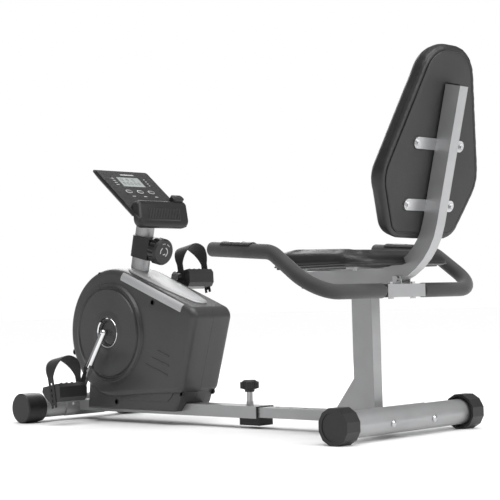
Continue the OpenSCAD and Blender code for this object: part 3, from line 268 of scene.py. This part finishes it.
def add_ring(bm, circles, shrink, height, place, count):
    """One closed ring of edges at a height, in the frame."""
    points = [wrap_point(circles, shrink, 2 * math.pi * (k + 0.5) / count) for k in range(count)]
    verts = [bm.verts.new(place(p.x, p.y, height)) for p in points]
    return [bm.edges.new((verts[k], verts[(k + 1) % count])) for k in range(count)]


def rings_solid(bm, circles, steps, place, count=96, close=(True, True)):
    """Rings from (shrink, height) steps, bridged into a closed form."""
    rings = [add_ring(bm, circles, s, h, place, count) for s, h in steps]
    for lower, upper in zip(rings, rings[1:]):
        bmesh.ops.bridge_loops(bm, edges=lower + upper)
    for wanted, ring in zip(close, (rings[0], rings[-1])):
        if wanted:
            bmesh.ops.edgeloop_fill(bm, edges=ring)


def edge_steps(radius, top, segments=5):
    """Steps of a quarter round that ends a ring stack at a height."""
    steps = []
    for k in range(1, segments + 1):
        turn = math.pi / 2 * k / segments
        steps.append((radius * (1 - math.cos(turn)), top - radius * (1 - math.sin(turn))))
    return steps


# %% Round bars with bends
def bent_bar(bm, points, bends, radius, sides=32, steps=10):
    """A round bar down a path: rings are extruded along each leg and spun round each bend."""
    way = (points[1] - points[0]).normalized()
    facing = way.to_track_quat("Z", "Y").to_matrix().to_4x4()
    start = bmesh.ops.create_circle(bm, segments=sides, radius=radius, cap_ends=True,
                                    matrix=Matrix.Translation(points[0]) @ facing)
    ring = list({e for v in start["verts"] for e in v.link_edges})
    here = points[0]
    for i in range(1, len(points)):
        way = (points[i] - points[i - 1]).normalized()
        if i < len(points) - 1:
            onward = (points[i + 1] - points[i]).normalized()
            turn = way.angle(onward)
            setback = bends[i] * math.tan(turn / 2)
            goal = points[i] - way * setback
        else:
            goal = points[i]
        grown = bmesh.ops.extrude_edge_only(bm, edges=ring)["geom"]
        moved = [g for g in grown if isinstance(g, bmesh.types.BMVert)]
        bmesh.ops.translate(bm, vec=goal - here, verts=moved)
        ring = [g for g in grown if isinstance(g, bmesh.types.BMEdge)]
        here = goal
        if i < len(points) - 1:
            centre = points[i] + (onward - way).normalized() * bends[i] / math.cos(turn / 2)
            axis = way.cross(onward).normalized()
            spun = bmesh.ops.spin(bm, geom=ring, cent=centre, axis=axis, angle=turn, steps=steps)
            last = spun["geom_last"]
            ring = [g for g in last if isinstance(g, bmesh.types.BMEdge)]
            here = points[i] + onward * setback
            got = sum((v.co for v in {v for e in ring for v in e.verts}), Vector()) / sides
            if (got - here).length > 0.001:
                print("bend went the other way by", round((got - here).length, 4))
    bmesh.ops.edgeloop_fill(bm, edges=ring)


# %% [markdown]
# ## Drive housing
# The housing is two mirrored plastic shells. The front is one big arc round the crank, the rear
# comes to a small radius at the top and another at the heel, and the side turns into the top
# through a wide moulded radius. Each half is a stack of rings wrapped round those three circles.

# %% Housing halves
CASE_CIRCLES = [(0, 0, 174), (304, 37, 30), (256, -136, 24)]
CASE_HALF = 71.0
CASE_EDGE = 17.0
BASE_OUTLINE = [(-118, -208), (236, -208), (254, -186), (270, -146), (262, -100), (-104, -100)]
BRIDGE_OUTLINE = [(-117, -186.5), (253.5, -186.5), (270, -146), (262, -100), (-104, -100)]
BEAM_SIDE, BASE_HALF = 30.4, 59.0


def case_place(side):
    return lambda u, v, h: from_hub(u, side * h, v)


def add_block(bm, side, outline, low, high, soften=0.0):
    """An outline in the middle plane's (x, z), thickened between two distances from that plane."""
    corners = [bm.verts.new(from_hub(x, side * low, z)) for x, z in outline]
    face = bm.faces.new(corners)
    grown = bmesh.ops.extrude_face_region(bm, geom=[face])["geom"]
    moved = [g for g in grown if isinstance(g, bmesh.types.BMVert)]
    bmesh.ops.translate(bm, vec=Vector((0, side * (high - low) * MM, 0)), verts=moved)
    if soften:
        rim = [g for g in grown if isinstance(g, bmesh.types.BMEdge)]
        bmesh.ops.bevel(bm, geom=rim, offset=soften * MM, segments=4, profile=0.5, affect="EDGES",
                        material=-1)


def add_base(bm, side):
    """The narrower foot of the housing: a cheek beside the beam and a bridge over it."""
    add_block(bm, side, BASE_OUTLINE, BEAM_SIDE, BASE_HALF, 6)
    add_block(bm, side, BRIDGE_OUTLINE, 0.3, BEAM_SIDE)


for side, word in ((-1, "left"), (1, "right")):
    shell = bmesh.new()
    rings_solid(shell, CASE_CIRCLES, [(0.0, 0.2), (0.0, 30.0)]
                + [(0.0, CASE_HALF - CASE_EDGE)] + edge_steps(CASE_EDGE, CASE_HALF, 6), case_place(side), 160)
    add_base(shell, side)
    make_piece(f"housing_shell_{word}", shell, "front_frame", housing_plastic,
               [f"housing_{word}"], smooth_angle=28)
print("housing halves made")

# %% Lines along the sloping top, and a painted highlight on its rounded edge
slope = math.atan2(37, 304) + math.acos((174 - 30) / math.hypot(304, 37))
up_slope = Vector((math.cos(slope), 0, math.sin(slope)))
down_slope = Vector((math.sin(slope), 0, -math.cos(slope)))


def slope_place(u, v, h):
    return HUB + (up_slope * (174 + h) + down_slope * u) * MM + Vector((0, v * MM, 0))


# Painted highlight: a light grey strip laid on the housing's rounded top edge where the light catches.
HIGHLIGHT_SPAN = (-5, 247)
HIGHLIGHT_ROUND = (35.0, 90.0)
HIGHLIGHT_SKIRT = 7.0


def highlight_profile(reach):
    """Points round the moulded edge, from the top to the flank, at a radius from its centre."""
    turns = [math.radians(HIGHLIGHT_ROUND[0] + (HIGHLIGHT_ROUND[1] - HIGHLIGHT_ROUND[0]) * k / 8) for k in range(9)]
    flat = CASE_HALF - CASE_EDGE + reach
    return [(CASE_HALF - CASE_EDGE + reach * math.sin(t), reach * math.cos(t) - CASE_EDGE)
            for t in turns] + [(flat, -CASE_EDGE - HIGHLIGHT_SKIRT)]


def add_painted_highlight(bm, side):
    """A thin light grey strip that follows the rounded edge under the cover: a painted highlight."""
    section = highlight_profile(CASE_EDGE + 0.9) + highlight_profile(CASE_EDGE - 1.0)[::-1]
    ends = [[bm.verts.new(slope_place(u, side * v, h)) for v, h in section] for u in HIGHLIGHT_SPAN]
    count = len(section)
    for k in range(count):
        bm.faces.new((ends[0][k], ends[0][(k + 1) % count], ends[1][(k + 1) % count], ends[1][k]))
    bm.faces.new(ends[0])
    bm.faces.new(ends[1][::-1])


# %% [markdown]
# ## Details on the housing's side
# The flank carries a light grey strip under the silver cover, a painted highlight along the rounded
# edge, three ribs low at the rear, a raised triangular panel, and screws in round wells. Each is a
# real raised shape, a millimetre or two proud, so it catches the light as the moulding does.


# %% Plates on the flank
def flank_plate(bm, corners, side, base, proud, soften=1.0):
    """A flat raised plate on the flank; corners are (x, z) or (x, z, y) from the front foot."""
    verts = []
    for c in corners:
        y = c[2] if len(c) > 2 else base
        verts.append(bm.verts.new(at(c[0], side * y, c[1])))
    face = bm.faces.new(verts)
    grown = bmesh.ops.extrude_face_region(bm, geom=[face])["geom"]
    moved = [g for g in grown if isinstance(g, bmesh.types.BMVert)]
    bmesh.ops.translate(bm, vec=Vector((0, side * proud * MM, 0)), verts=moved)
    rim = [g for g in grown if isinstance(g, bmesh.types.BMEdge)]
    bmesh.ops.bevel(bm, geom=rim, offset=soften * MM, segments=2, profile=0.5, affect="EDGES", material=-1)


RIBS = [((417, 195), (460, 181)), ((393, 178), (459, 157)), ((365, 162), (452, 132))]
PANEL = [(246, 62), (362, 129), (470, 113), (455, 75), (440, 62)]
SCREWS = [(181, 402, 66), (401, 322, 71), (488, 84, 57), (231, 56, 59), (64, 191, 66)]
WELL_STEPS = [(0, -4), (0, 0.6), (0.8, 1.1), (2.2, 1.1), (3.2, 0.2), (4.4, -0.8)]
for side, word in ((-1, "left"), (1, "right")):
    # The light grey strip on the rounded edge is a painted highlight.
    highlight_strip = bmesh.new()
    add_painted_highlight(highlight_strip, side)
    make_piece(f"painted_highlight_band_{word}", highlight_strip, "front_frame", silver_plastic)
    ribs = bmesh.new()
    for (x0, z0), (x1, z1) in RIBS:
        flank_plate(ribs, [(x0, z0 - 2), (x1, z1 - 2), (x1, z1 + 2), (x0, z0 + 2)], side, 70.5, 2.0, 0.8)
    flank_plate(ribs, PANEL, side, 57, 4.5, 2.0)
    make_piece(f"flank_ribs_{word}", ribs, "front_frame", housing_plastic)
    wells = bmesh.new()
    for x, z, y in SCREWS:
        rings_solid(wells, [(x, z, 8)], WELL_STEPS, lambda u, v, h: at(u, side * (y + h), v), 32)
    make_piece(f"screw_wells_{word}", wells, "front_frame", black_plastic)
print("flank details made")

# %% [markdown]
# ## Silver top cover
# A long tapered cover lies along the sloping top and lets the mast through. It is painted plastic
# with a low crown, so the rings shrink quickly at the edge and slowly towards the middle.

# %% Top cover
COVER_CIRCLES = [(8, 0, 46), (130, 0, 42), (225, 0, 26)]
cover = bmesh.new()
rings_solid(cover, COVER_CIRCLES, [(3.0, -1.0), (0.6, -0.6), (0.0, 0.6), (0.6, 2.4), (2.4, 3.8), (7.0, 5.0),
                                   (14.0, 6.0), (22.0, 6.6)], slope_place, 96)
make_piece("silver_mast_cover", cover, "front_frame", silver_plastic, ["top_cover"])

# %% [markdown]
# ## Foam grips
# The grips are foam sleeves pushed over the bar while wet with soap, so they follow each bend and
# are slightly swollen on the inside of it. A ring of vertices is extruded down each straight and
# spun round each bend.

# %% Foam grips
GRIP_PATH = [(861, 294, 440), (1052, 294, 425), (1180, 294, 333), (1180, 71, 333)]
GRIP_BENDS = [0, 60 * MM, 73 * MM, 0]
grips = bmesh.new()
for side in (-1, 1):
    path = [at(x, side * y, z) for x, y, z in GRIP_PATH]
    bent_bar(grips, path, GRIP_BENDS, 17 * MM)
ends = [e for e in grips.edges if len(e.link_faces) == 2 and max(len(f.verts) for f in e.link_faces) > 4]
bmesh.ops.bevel(grips, geom=ends, offset=4 * MM, segments=3, profile=0.5, affect="EDGES", material=-1)
make_piece("foam_sleeves", grips, "seat_carriage", foam, ["foam_grips"])

# %% [markdown]
# ## Sensor plates and dial marks
# Each grip carries a small steel plate over its sensor, and the tension knob's face has generic
# arcs instead of lettering. Both are parts of flat rings, so one helper makes them.


# %% Pieces of a ring
def ring_piece(bm, centre, axis, up, radii, turns, span, steps=12):
    """Part of a flat ring: radii, turns and its span along the axis are (from, to) pairs."""
    across = axis.cross(up).normalized()
    angles = [turns[0] + (turns[1] - turns[0]) * k / steps for k in range(steps + 1)]
    section = [(t, radii[1]) for t in angles] + [(t, radii[0]) for t in angles[::-1]]
    loops = [[bm.verts.new(centre + (axis * h + up * (r * math.cos(t)) + across * (r * math.sin(t))) * MM)
              for t, r in section] for h in span]
    count = len(section)
    for k in range(count):
        j = (k + 1) % count
        bm.faces.new((loops[0][k], loops[0][j], loops[1][j], loops[1][k]))
    for k in range(steps):
        m = count - 1 - k
        for loop in loops:
            bm.faces.new((loop[k], loop[k + 1], loop[m - 1], loop[m]))


# %% Contact plates of the pulse sensors
PLATE_SPAN = (66, 104)
PLATE_HALF = math.radians(26)
PLATE_RADII = (19.5, 20.7)
plates = bmesh.new()
for side in (-1, 1):
    tip, bend = (at(x, side * y, z) for x, y, z in GRIP_PATH[:2])
    along = (bend - tip).normalized()
    over = along.cross(Vector((0, 1, 0)))
    ring_piece(plates, tip, along, over, PLATE_RADII, (-PLATE_HALF, PLATE_HALF), PLATE_SPAN)
make_piece("sensor_plates", plates, "seat_carriage", bare_steel)

# %% Dial marks on the tension knob
# The joint gives the knob's axis; its outer face is this far from the mast's line.
KNOB_FACE = 87.3
MARK_SUNK, MARK_PROUD = 0.6, 0.35
# Each arc: inner and outer radius, then the degrees it runs from and to
DIAL_ARCS = [(11, 14, -150, -20), (11, 14, 30, 110), (22, 23.5, -50, -20), (22, 23.5, -5, 20),
             (5, 8, 150, 230)]
turner = joints["tension_knob_turn"]
knob_axis = Vector(turner["axis"]).normalized()
print("knob joint", [round(v, 4) for v in turner["pos_m"]], "axis", [round(v, 3) for v in knob_axis])
mast_up = knob_axis.cross(Vector((0, 1, 0)))
MAST_LEAN = math.radians(13.4)
MAST_BACK, KNOB_UP = 8.3, 239.0
knob_root = from_hub(MAST_BACK + KNOB_UP * math.sin(MAST_LEAN), 0, KNOB_UP * math.cos(MAST_LEAN))
dial = bmesh.new()
for r0, r1, t0, t1 in DIAL_ARCS:
    ring_piece(dial, knob_root, knob_axis, mast_up, (r0, r1), (math.radians(t0), math.radians(t1)),
               (KNOB_FACE - MARK_SUNK, KNOB_FACE + MARK_PROUD), 16)
make_piece("dial_marks", dial, "tension_knob", mark_grey)

# %% [markdown]
# ## Pedal straps
# A pedal strap is one flat moulding: a wide band over the toes that narrows to a leg on each side,
# with a row of holes in the outer leg. A grid of faces follows that path, the holes are faces left
# out, and a small thickness makes it solid.

# %% Pedal straps
PEDAL_IN = 130.0
PEDAL_TILT = math.radians(10)
STRAP_MID, STRAP_REACH = 46.0, 47.6
STRAP_SHOULDER, STRAP_RISE = 34.0, 54.0
STRAP_LEGS = (-20.0, -48.0)
STRAP_WIDTHS = (11.0, 29.0)
STRAP_COLUMNS = (-1.0, -0.72, -0.34, 0.34, 0.72, 1.0)
STRAP_THICK = 2.4
STRAP_FORWARD = 6
LEG_STEPS = (7, 11)
ARCH_STEPS = 24
HOLE_ROWS = (1, 2, 33, 35, 37, 39, 41)


def strap_path():
    """Points (out, up, half width) from the inner leg's end over the arch to the outer leg's end."""
    inner = [(-1, STRAP_LEGS[0] + (STRAP_SHOULDER - STRAP_LEGS[0]) * k / LEG_STEPS[0])
             for k in range(LEG_STEPS[0])]
    outer = [(1, STRAP_SHOULDER + (STRAP_LEGS[1] - STRAP_SHOULDER) * k / LEG_STEPS[1])
             for k in range(1, LEG_STEPS[1] + 1)]
    line = [(STRAP_MID + STRAP_REACH * s, z, STRAP_WIDTHS[0]) for s, z in inner]
    for k in range(ARCH_STEPS + 1):
        turn = math.pi * (1 - k / ARCH_STEPS)
        wide = STRAP_WIDTHS[0] + (STRAP_WIDTHS[1] - STRAP_WIDTHS[0]) * min(1.0, 1.25 * math.sin(turn))
        line.append((STRAP_MID + STRAP_REACH * math.cos(turn),
                     STRAP_SHOULDER + STRAP_RISE * math.sin(turn), wide))
    return line + [(STRAP_MID + STRAP_REACH * s, z, STRAP_WIDTHS[0]) for s, z in outer]


for side, word in ((-1, "left"), (1, "right")):
    axle = Vector(joints[f"pedal_{word}_spin"]["pos_m"])
    strap = bmesh.new()
    rows = []
    for out, up, half in strap_path():
        row = []
        for column in STRAP_COLUMNS:
            x = STRAP_FORWARD + column * half
            row.append(strap.verts.new(Vector((
                axle.x + (x * math.cos(PEDAL_TILT) - up * math.sin(PEDAL_TILT)) * MM,
                side * (PEDAL_IN + out) * MM,
                axle.z + (x * math.sin(PEDAL_TILT) + up * math.cos(PEDAL_TILT)) * MM))))
        rows.append(row)
    for r, (low, high) in enumerate(zip(rows, rows[1:])):
        for c in range(len(STRAP_COLUMNS) - 1):
            if not (c == 2 and r in HOLE_ROWS):
                strap.faces.new((low[c], low[c + 1], high[c + 1], high[c]))
    bmesh.ops.recalc_face_normals(strap, faces=strap.faces)
    bmesh.ops.solidify(strap, geom=strap.faces[:], thickness=STRAP_THICK * MM)
    make_piece(f"toe_strap_{word}", strap, f"pedal_{word}", rubber, [f"strap_{word}"])
print("straps made")

# %% [markdown]
# ## Cushions
# A stuffed cushion is a cover pulled over foam: crowned in the middle, drawn in at its seam. Each
# starts as a slightly small stack of rings, is remeshed into even quads, and is then inflated as
# cloth with its resting face pinned. The movement is capped so that it keeps its true size.


# %% Stuffing
def stuff(piece, pinned, pressure=4.0, cap=9 * MM, voxel=5 * MM):
    """Inflates a closed form as cloth, holding the vertices that pinned(co) picks."""
    even = piece.modifiers.new("even", "REMESH")
    even.mode = "VOXEL"
    even.voxel_size = voxel
    seen = piece.evaluated_get(bpy.context.evaluated_depsgraph_get())
    even_mesh = bpy.data.meshes.new_from_object(seen)
    piece.modifiers.remove(even)
    old = piece.data
    piece.data = even_mesh
    even_mesh.materials.clear()
    even_mesh.materials.append(old.materials[0])
    hold = piece.vertex_groups.new(name="hold")
    hold.add([v.index for v in even_mesh.vertices if pinned(v.co)], 1.0, "REPLACE")
    cloth = piece.modifiers.new("cover", "CLOTH")
    cloth.settings.use_pressure = True
    cloth.settings.uniform_pressure_force = pressure
    cloth.settings.vertex_group_mass = "hold"
    cloth.settings.effector_weights.gravity = 0
    cloth.settings.tension_stiffness = 12
    cloth.settings.bending_stiffness = 0.4
    for step in range(1, 21):
        bpy.context.scene.frame_set(step)
    blown = bpy.data.meshes.new_from_object(
        piece.evaluated_get(bpy.context.evaluated_depsgraph_get()))
    for v, b in zip(even_mesh.vertices, blown.vertices):
        move = b.co - v.co
        if move.length > cap:
            move *= cap / move.length
        v.co += move
    piece.modifiers.remove(cloth)
    piece.vertex_groups.clear()
    bpy.context.scene.frame_set(1)
    relax = bmesh.new()
    relax.from_mesh(even_mesh)
    for _ in range(3):
        bmesh.ops.smooth_vert(relax, verts=relax.verts, factor=0.5, use_axis_x=True, use_axis_y=True,
                              use_axis_z=True)
    relax.to_mesh(even_mesh)
    relax.free()
    for face in even_mesh.polygons:
        face.use_smooth = True
    return piece


# %% Seat cushion
seat_low, seat_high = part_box("seat_cushion")
SEAT_MID = Vector(((seat_low[0] + seat_high[0]) / 2, 0, 0))
SEAT_Z = seat_low[2]
SEAT_CIRCLES = [(-68, -104, 78), (-68, 104, 78), (88, -118, 62), (88, 118, 62)]


def seat_place(u, v, h):
    rise = -0.12 * max(0.0, u - 40) - 2.0 * math.exp(-((v / 90) ** 2)) if h > 15 else 0
    return SEAT_MID + Vector((u * MM, v * MM, SEAT_Z + (h + rise) * MM))


# The steps run from the skirt round the board, up the side and over the crown
SEAT_STEPS = [(8, -8), (3, -8.5), (0, -4), (-1, 8), (0, 19), (4, 26), (12, 30), (28, 32), (45, 32)]
seat = bmesh.new()
rings_solid(seat, SEAT_CIRCLES, SEAT_STEPS, seat_place, 96)
seat_pad = make_piece("seat_pad", seat, "seat_carriage", vinyl, ["seat_cushion"])
stuff(seat_pad, lambda co: co.z < SEAT_Z + 3 * MM, cap=4 * MM)

# %% Backrest cushion
LEAN = math.radians(14.2)
up_back = Vector((math.sin(LEAN), 0, math.cos(LEAN)))
out_back = Vector((-math.cos(LEAN), 0, math.sin(LEAN)))
back_corner = at(1232, 0, 385)


def back_place(u, v, h):
    """u across, v up the slope, h forward of the upright's front face, in millimetres."""
    return back_corner + Vector((0, u * MM, 0)) + up_back * (v * MM) + out_back * (h * MM)


BACK_CIRCLES = [(-91, 205, 85), (91, 205, 85), (-84, 113, 50), (84, 113, 50), (-14, 416, 86), (14, 416, 86)]
BACK_STEPS = [(18, 9), (14, 6), (5, 6), (0, 11), (-1, 22), (0, 34), (4, 44), (12, 50), (28, 53),
              (42, 53.5)]
PANEL_STEPS = [(17, 13), (15, 8), (15.5, 5.2), (18, 4.4), (26, 4.2), (40, 4.2)]
back = bmesh.new()
rings_solid(back, BACK_CIRCLES, BACK_STEPS, back_place, 128)
back_pad = make_piece("back_pad", back, "seat_carriage", vinyl, ["back_cushion"])
stuff(back_pad, lambda co: (co - back_corner).dot(out_back) < 9 * MM, cap=4 * MM)

# %% Backrest back cover
panel = bmesh.new()
rings_solid(panel, BACK_CIRCLES, PANEL_STEPS, back_place, 128)
make_piece("backrest_back_panel", panel, "seat_carriage", back_cloth, ["back_board"])


# %% Piping
def piping(name, circles, shrink, height, place, radius, body, material, count=128):
    """A sewn cord round an outline."""
    bm = bmesh.new()
    line = [Vector(place(p.x, p.y, height)) for p in
            (wrap_point(circles, shrink, 2 * math.pi * (k + 0.5) / count) for k in range(count))]
    curve = bpy.data.curves.new(name, "CURVE")
    curve.dimensions = "3D"
    curve.bevel_depth = radius
    curve.bevel_resolution = 2
    spline = curve.splines.new("POLY")
    spline.points.add(len(line) - 1)
    for point, co in zip(spline.points, line):
        point.co = (*co, 1.0)
    spline.use_cyclic_u = True
    holder = bpy.data.objects.new(name + "_line", curve)
    bpy.context.scene.collection.objects.link(holder)
    bm.from_mesh(holder.to_mesh())
    holder.to_mesh_clear()
    bpy.data.objects.remove(holder)
    return make_piece(name, bm, body, material, smooth_angle=80)


piping("backrest_piping", BACK_CIRCLES, 14.5, 5.6, back_place, 1.8 * MM, "seat_carriage", vinyl)
piping("seat_piping", SEAT_CIRCLES, 0.5, -4, seat_place, 1.6 * MM, "seat_carriage", vinyl)
print("cushions made")

# %% [markdown]
# ## Console details
# The console's face has a pale display, three oval buttons and a few generic printed bars. The
# marks are thin raised shapes so that they stay crisp from every side.

# %% Console details
TILT = math.radians(39)
face_down = Vector((math.cos(TILT), 0, -math.sin(TILT)))
face_out = Vector((math.sin(TILT), 0, math.cos(TILT)))
face_origin = from_hub(-17, 0, 443)


def face_place(u, v, h):
    return face_origin + face_down * (u * MM) + Vector((0, v * MM, 0)) + face_out * (h * MM)


def face_bar(bm, u0, u1, v0, v1, radius, base, top):
    r = min(radius, abs(u1 - u0) / 2 - 0.01, abs(v1 - v0) / 2 - 0.01)
    circles = [(u, v, r) for u in (u0 + r, u1 - r) for v in (v0 + r, v1 - r)]
    rings_solid(bm, circles, [(0, base), (0, top - 0.15), (0.25, top)], face_place, 24)


marks = bmesh.new()
face_bar(marks, 13, 18, -17, 31, 1.2, -0.3, 0.35)
for v in (-62, 54):
    for k in range(4):
        face_bar(marks, 33 + 10 * k, 36 + 10 * k, v, v + (10 if v < 0 else 6), 1.0, -0.3, 0.35)
for v in (-37, 4, 44):
    face_bar(marks, 118, 121, v - 6, v + 6, 1.0, -0.3, 0.35)
make_piece("printed_marks", marks, "front_frame", mark_grey)

digits = bmesh.new()
for row, u in enumerate((33, 50)):
    for k in range(5 if row else 3):
        v = -30 + k * (13 if row else 20)
        face_bar(digits, u, u + 11, v, v + 1.4, 0.6, -1.0, -0.7)
        face_bar(digits, u, u + 11, v + 6, v + 7.4, 0.6, -1.0, -0.7)
        face_bar(digits, u, u + 1.4, v, v + 7.4, 0.6, -1.0, -0.7)
        face_bar(digits, u + 9.6, u + 11, v, v + 7.4, 0.6, -1.0, -0.7)
make_piece("display_digits", digits, "front_frame", dark_coat)

# The ledge that a tablet stands on: a rounded slab across the lower end of the face, ribbed outside
LEDGE_MID = (208.0, 2.0)
LEDGE_DOWN = (0.7226, -0.6912)
LEDGE_OUT = (0.6912, 0.7226)
LEDGE_CIRCLES = [(-24, -76, 14), (-24, 76, 14), (13, -70, 22), (13, 70, 22)]
LEDGE_STEPS = [(7, -15), (1, -14), (0, -11), (0, -1.5), (1, 2), (3.2, 4.5), (7, 6.2), (12, 7)]
RIB_COUNT = 20


def ledge_place(u, v, h):
    """u down the ledge's wall, v across, h out of it."""
    return face_place(LEDGE_MID[0] + LEDGE_DOWN[0] * u + LEDGE_OUT[0] * h, v,
                      LEDGE_MID[1] + LEDGE_DOWN[1] * u + LEDGE_OUT[1] * h)


ledge = bmesh.new()
rings_solid(ledge, LEDGE_CIRCLES, LEDGE_STEPS, ledge_place, 96)
face_bar(ledge, 162, 184, 42, 82, 8, 0, 37)
face_bar(ledge, 150, 226, -93, 60, 6, -9, -0.2)
make_piece("tablet_ledge", ledge, "front_frame", black_plastic)
ribs = bmesh.new()
for k in range(RIB_COUNT):
    v = -50 + 5.6 * k
    corners = [ledge_place(u, v + w, h) for u in (-16, 16) for w in (-1.2, 1.2) for h in (6.2, 8.2)]
    bmesh.ops.convex_hull(ribs, input=[ribs.verts.new(c) for c in corners])
make_piece("ledge_ribs", ribs, "front_frame", housing_plastic)

for word, v in (("left", -40), ("middle", 0), ("right", 40)):
    cap = bmesh.new()
    rings_solid(cap, [(97, v - 3.5, 4.8), (97, v + 3.5, 4.8)],
                [(0, -3.5), (0, 1.0), (0.5, 1.4), (1.6, 1.7)], face_place, 40)
    make_piece(f"oval_button_{word}", cap, f"button_{word}", button_grey,
               [f"button_{word}"])
    rim = bmesh.new()
    rings_solid(rim, [(97, v - 3.5, 7.4), (97, v + 3.5, 7.4)],
                [(0, -0.4), (0, 0.3), (0.5, 0.6), (1.3, 0.6), (1.8, -0.4)], face_place, 40, (False, False))
    make_piece(f"button_rim_{word}", rim, "front_frame", mark_grey)
print("console details made")

# %% [markdown]
# ## Floor, light and camera
# A pale floor, a broad overhead light and two large soft lamps stand in for a product studio. The
# air is brighter to the camera than to the bike, which keeps the backdrop white and the blacks deep.
# The camera stands behind and to the left of the bike, low, with a long lens.

# %% Studio
floor = bmesh.new()
bmesh.ops.create_grid(floor, x_segments=1, y_segments=1, size=30)
floor_mesh = bpy.data.meshes.new("studio_floor")
floor.to_mesh(floor_mesh)
floor.free()
studio = bpy.data.objects.new("studio_floor", floor_mesh)
bpy.context.scene.collection.objects.link(studio)
paper = finish_material("studio_paper", (0.86, 0.86, 0.86), (0.88, 0.88, 0.88), (0.7, 0.8), 50, 0.02)
floor_mesh.materials.append(paper)

FILL_STRENGTH = 0.32
world = bpy.data.worlds.new("studio_air")
bpy.context.scene.world = world
world.use_nodes = True
air = world.node_tree
fill = air.nodes["Background"]
fill.inputs["Color"].default_value = (1, 1, 1, 1)
fill.inputs["Strength"].default_value = FILL_STRENGTH
wall = air.nodes.new("ShaderNodeBackground")
wall.inputs["Color"].default_value = (1, 1, 1, 1)
wall.inputs["Strength"].default_value = 1.0
rays = air.nodes.new("ShaderNodeLightPath")
choose = air.nodes.new("ShaderNodeMixShader")
air.links.new(rays.outputs["Is Camera Ray"], choose.inputs["Fac"])
air.links.new(fill.outputs["Background"], choose.inputs[1])
air.links.new(wall.outputs["Background"], choose.inputs[2])
air.links.new(choose.outputs["Shader"], air.nodes["World Output"].inputs["Surface"])
bpy.context.scene.view_settings.view_transform = "Standard"


def soft_light(name, place, aim, size, power):
    lamp = bpy.data.lights.new(name, "AREA")
    lamp.size = size
    lamp.energy = power
    holder = bpy.data.objects.new(name, lamp)
    holder.location = place
    holder.rotation_euler = (Vector(aim) - Vector(place)).to_track_quat("-Z", "Y").to_euler()
    bpy.context.scene.collection.objects.link(holder)


soft_light("key_light", (3.6, 0.6, 2.0), (0, 0, 0.4), 2.0, 80)
overhead = bpy.data.lights.new("overhead", "SUN")
overhead.energy = 2.9
overhead.angle = math.radians(60)
overhead_holder = bpy.data.objects.new("overhead", overhead)
overhead_holder.rotation_euler = (math.radians(8), math.radians(12), 0)
bpy.context.scene.collection.objects.link(overhead_holder)
soft_light("rim_light", (-2.6, 1.6, 2.0), (0, 0, 0.5), 1.8, 40)

# %% Camera
CAMERA_PLACE = at(3213.56, -2563.34, 314.07)
LOOK = Vector((-0.7001, 0.7131, 0.0372)).normalized()
ROLL = math.radians(-1.61)
level_right = LOOK.cross(Vector((0, 0, 1))).normalized()
level_up = level_right.cross(LOOK)
right = level_right * math.cos(ROLL) + level_up * math.sin(ROLL)
up = right.cross(LOOK)
lens = bpy.data.cameras.new("studio_camera")
lens.lens = 102.36
lens.sensor_width = 36
lens.clip_end = 100
camera = bpy.data.objects.new("studio_camera", lens)
camera.matrix_world = Matrix.Translation(CAMERA_PLACE) @ Matrix(
    (right, up, -LOOK)).transposed().to_4x4()
bpy.context.scene.collection.objects.link(camera)
bpy.context.scene.camera = camera
bpy.context.view_layer.update()
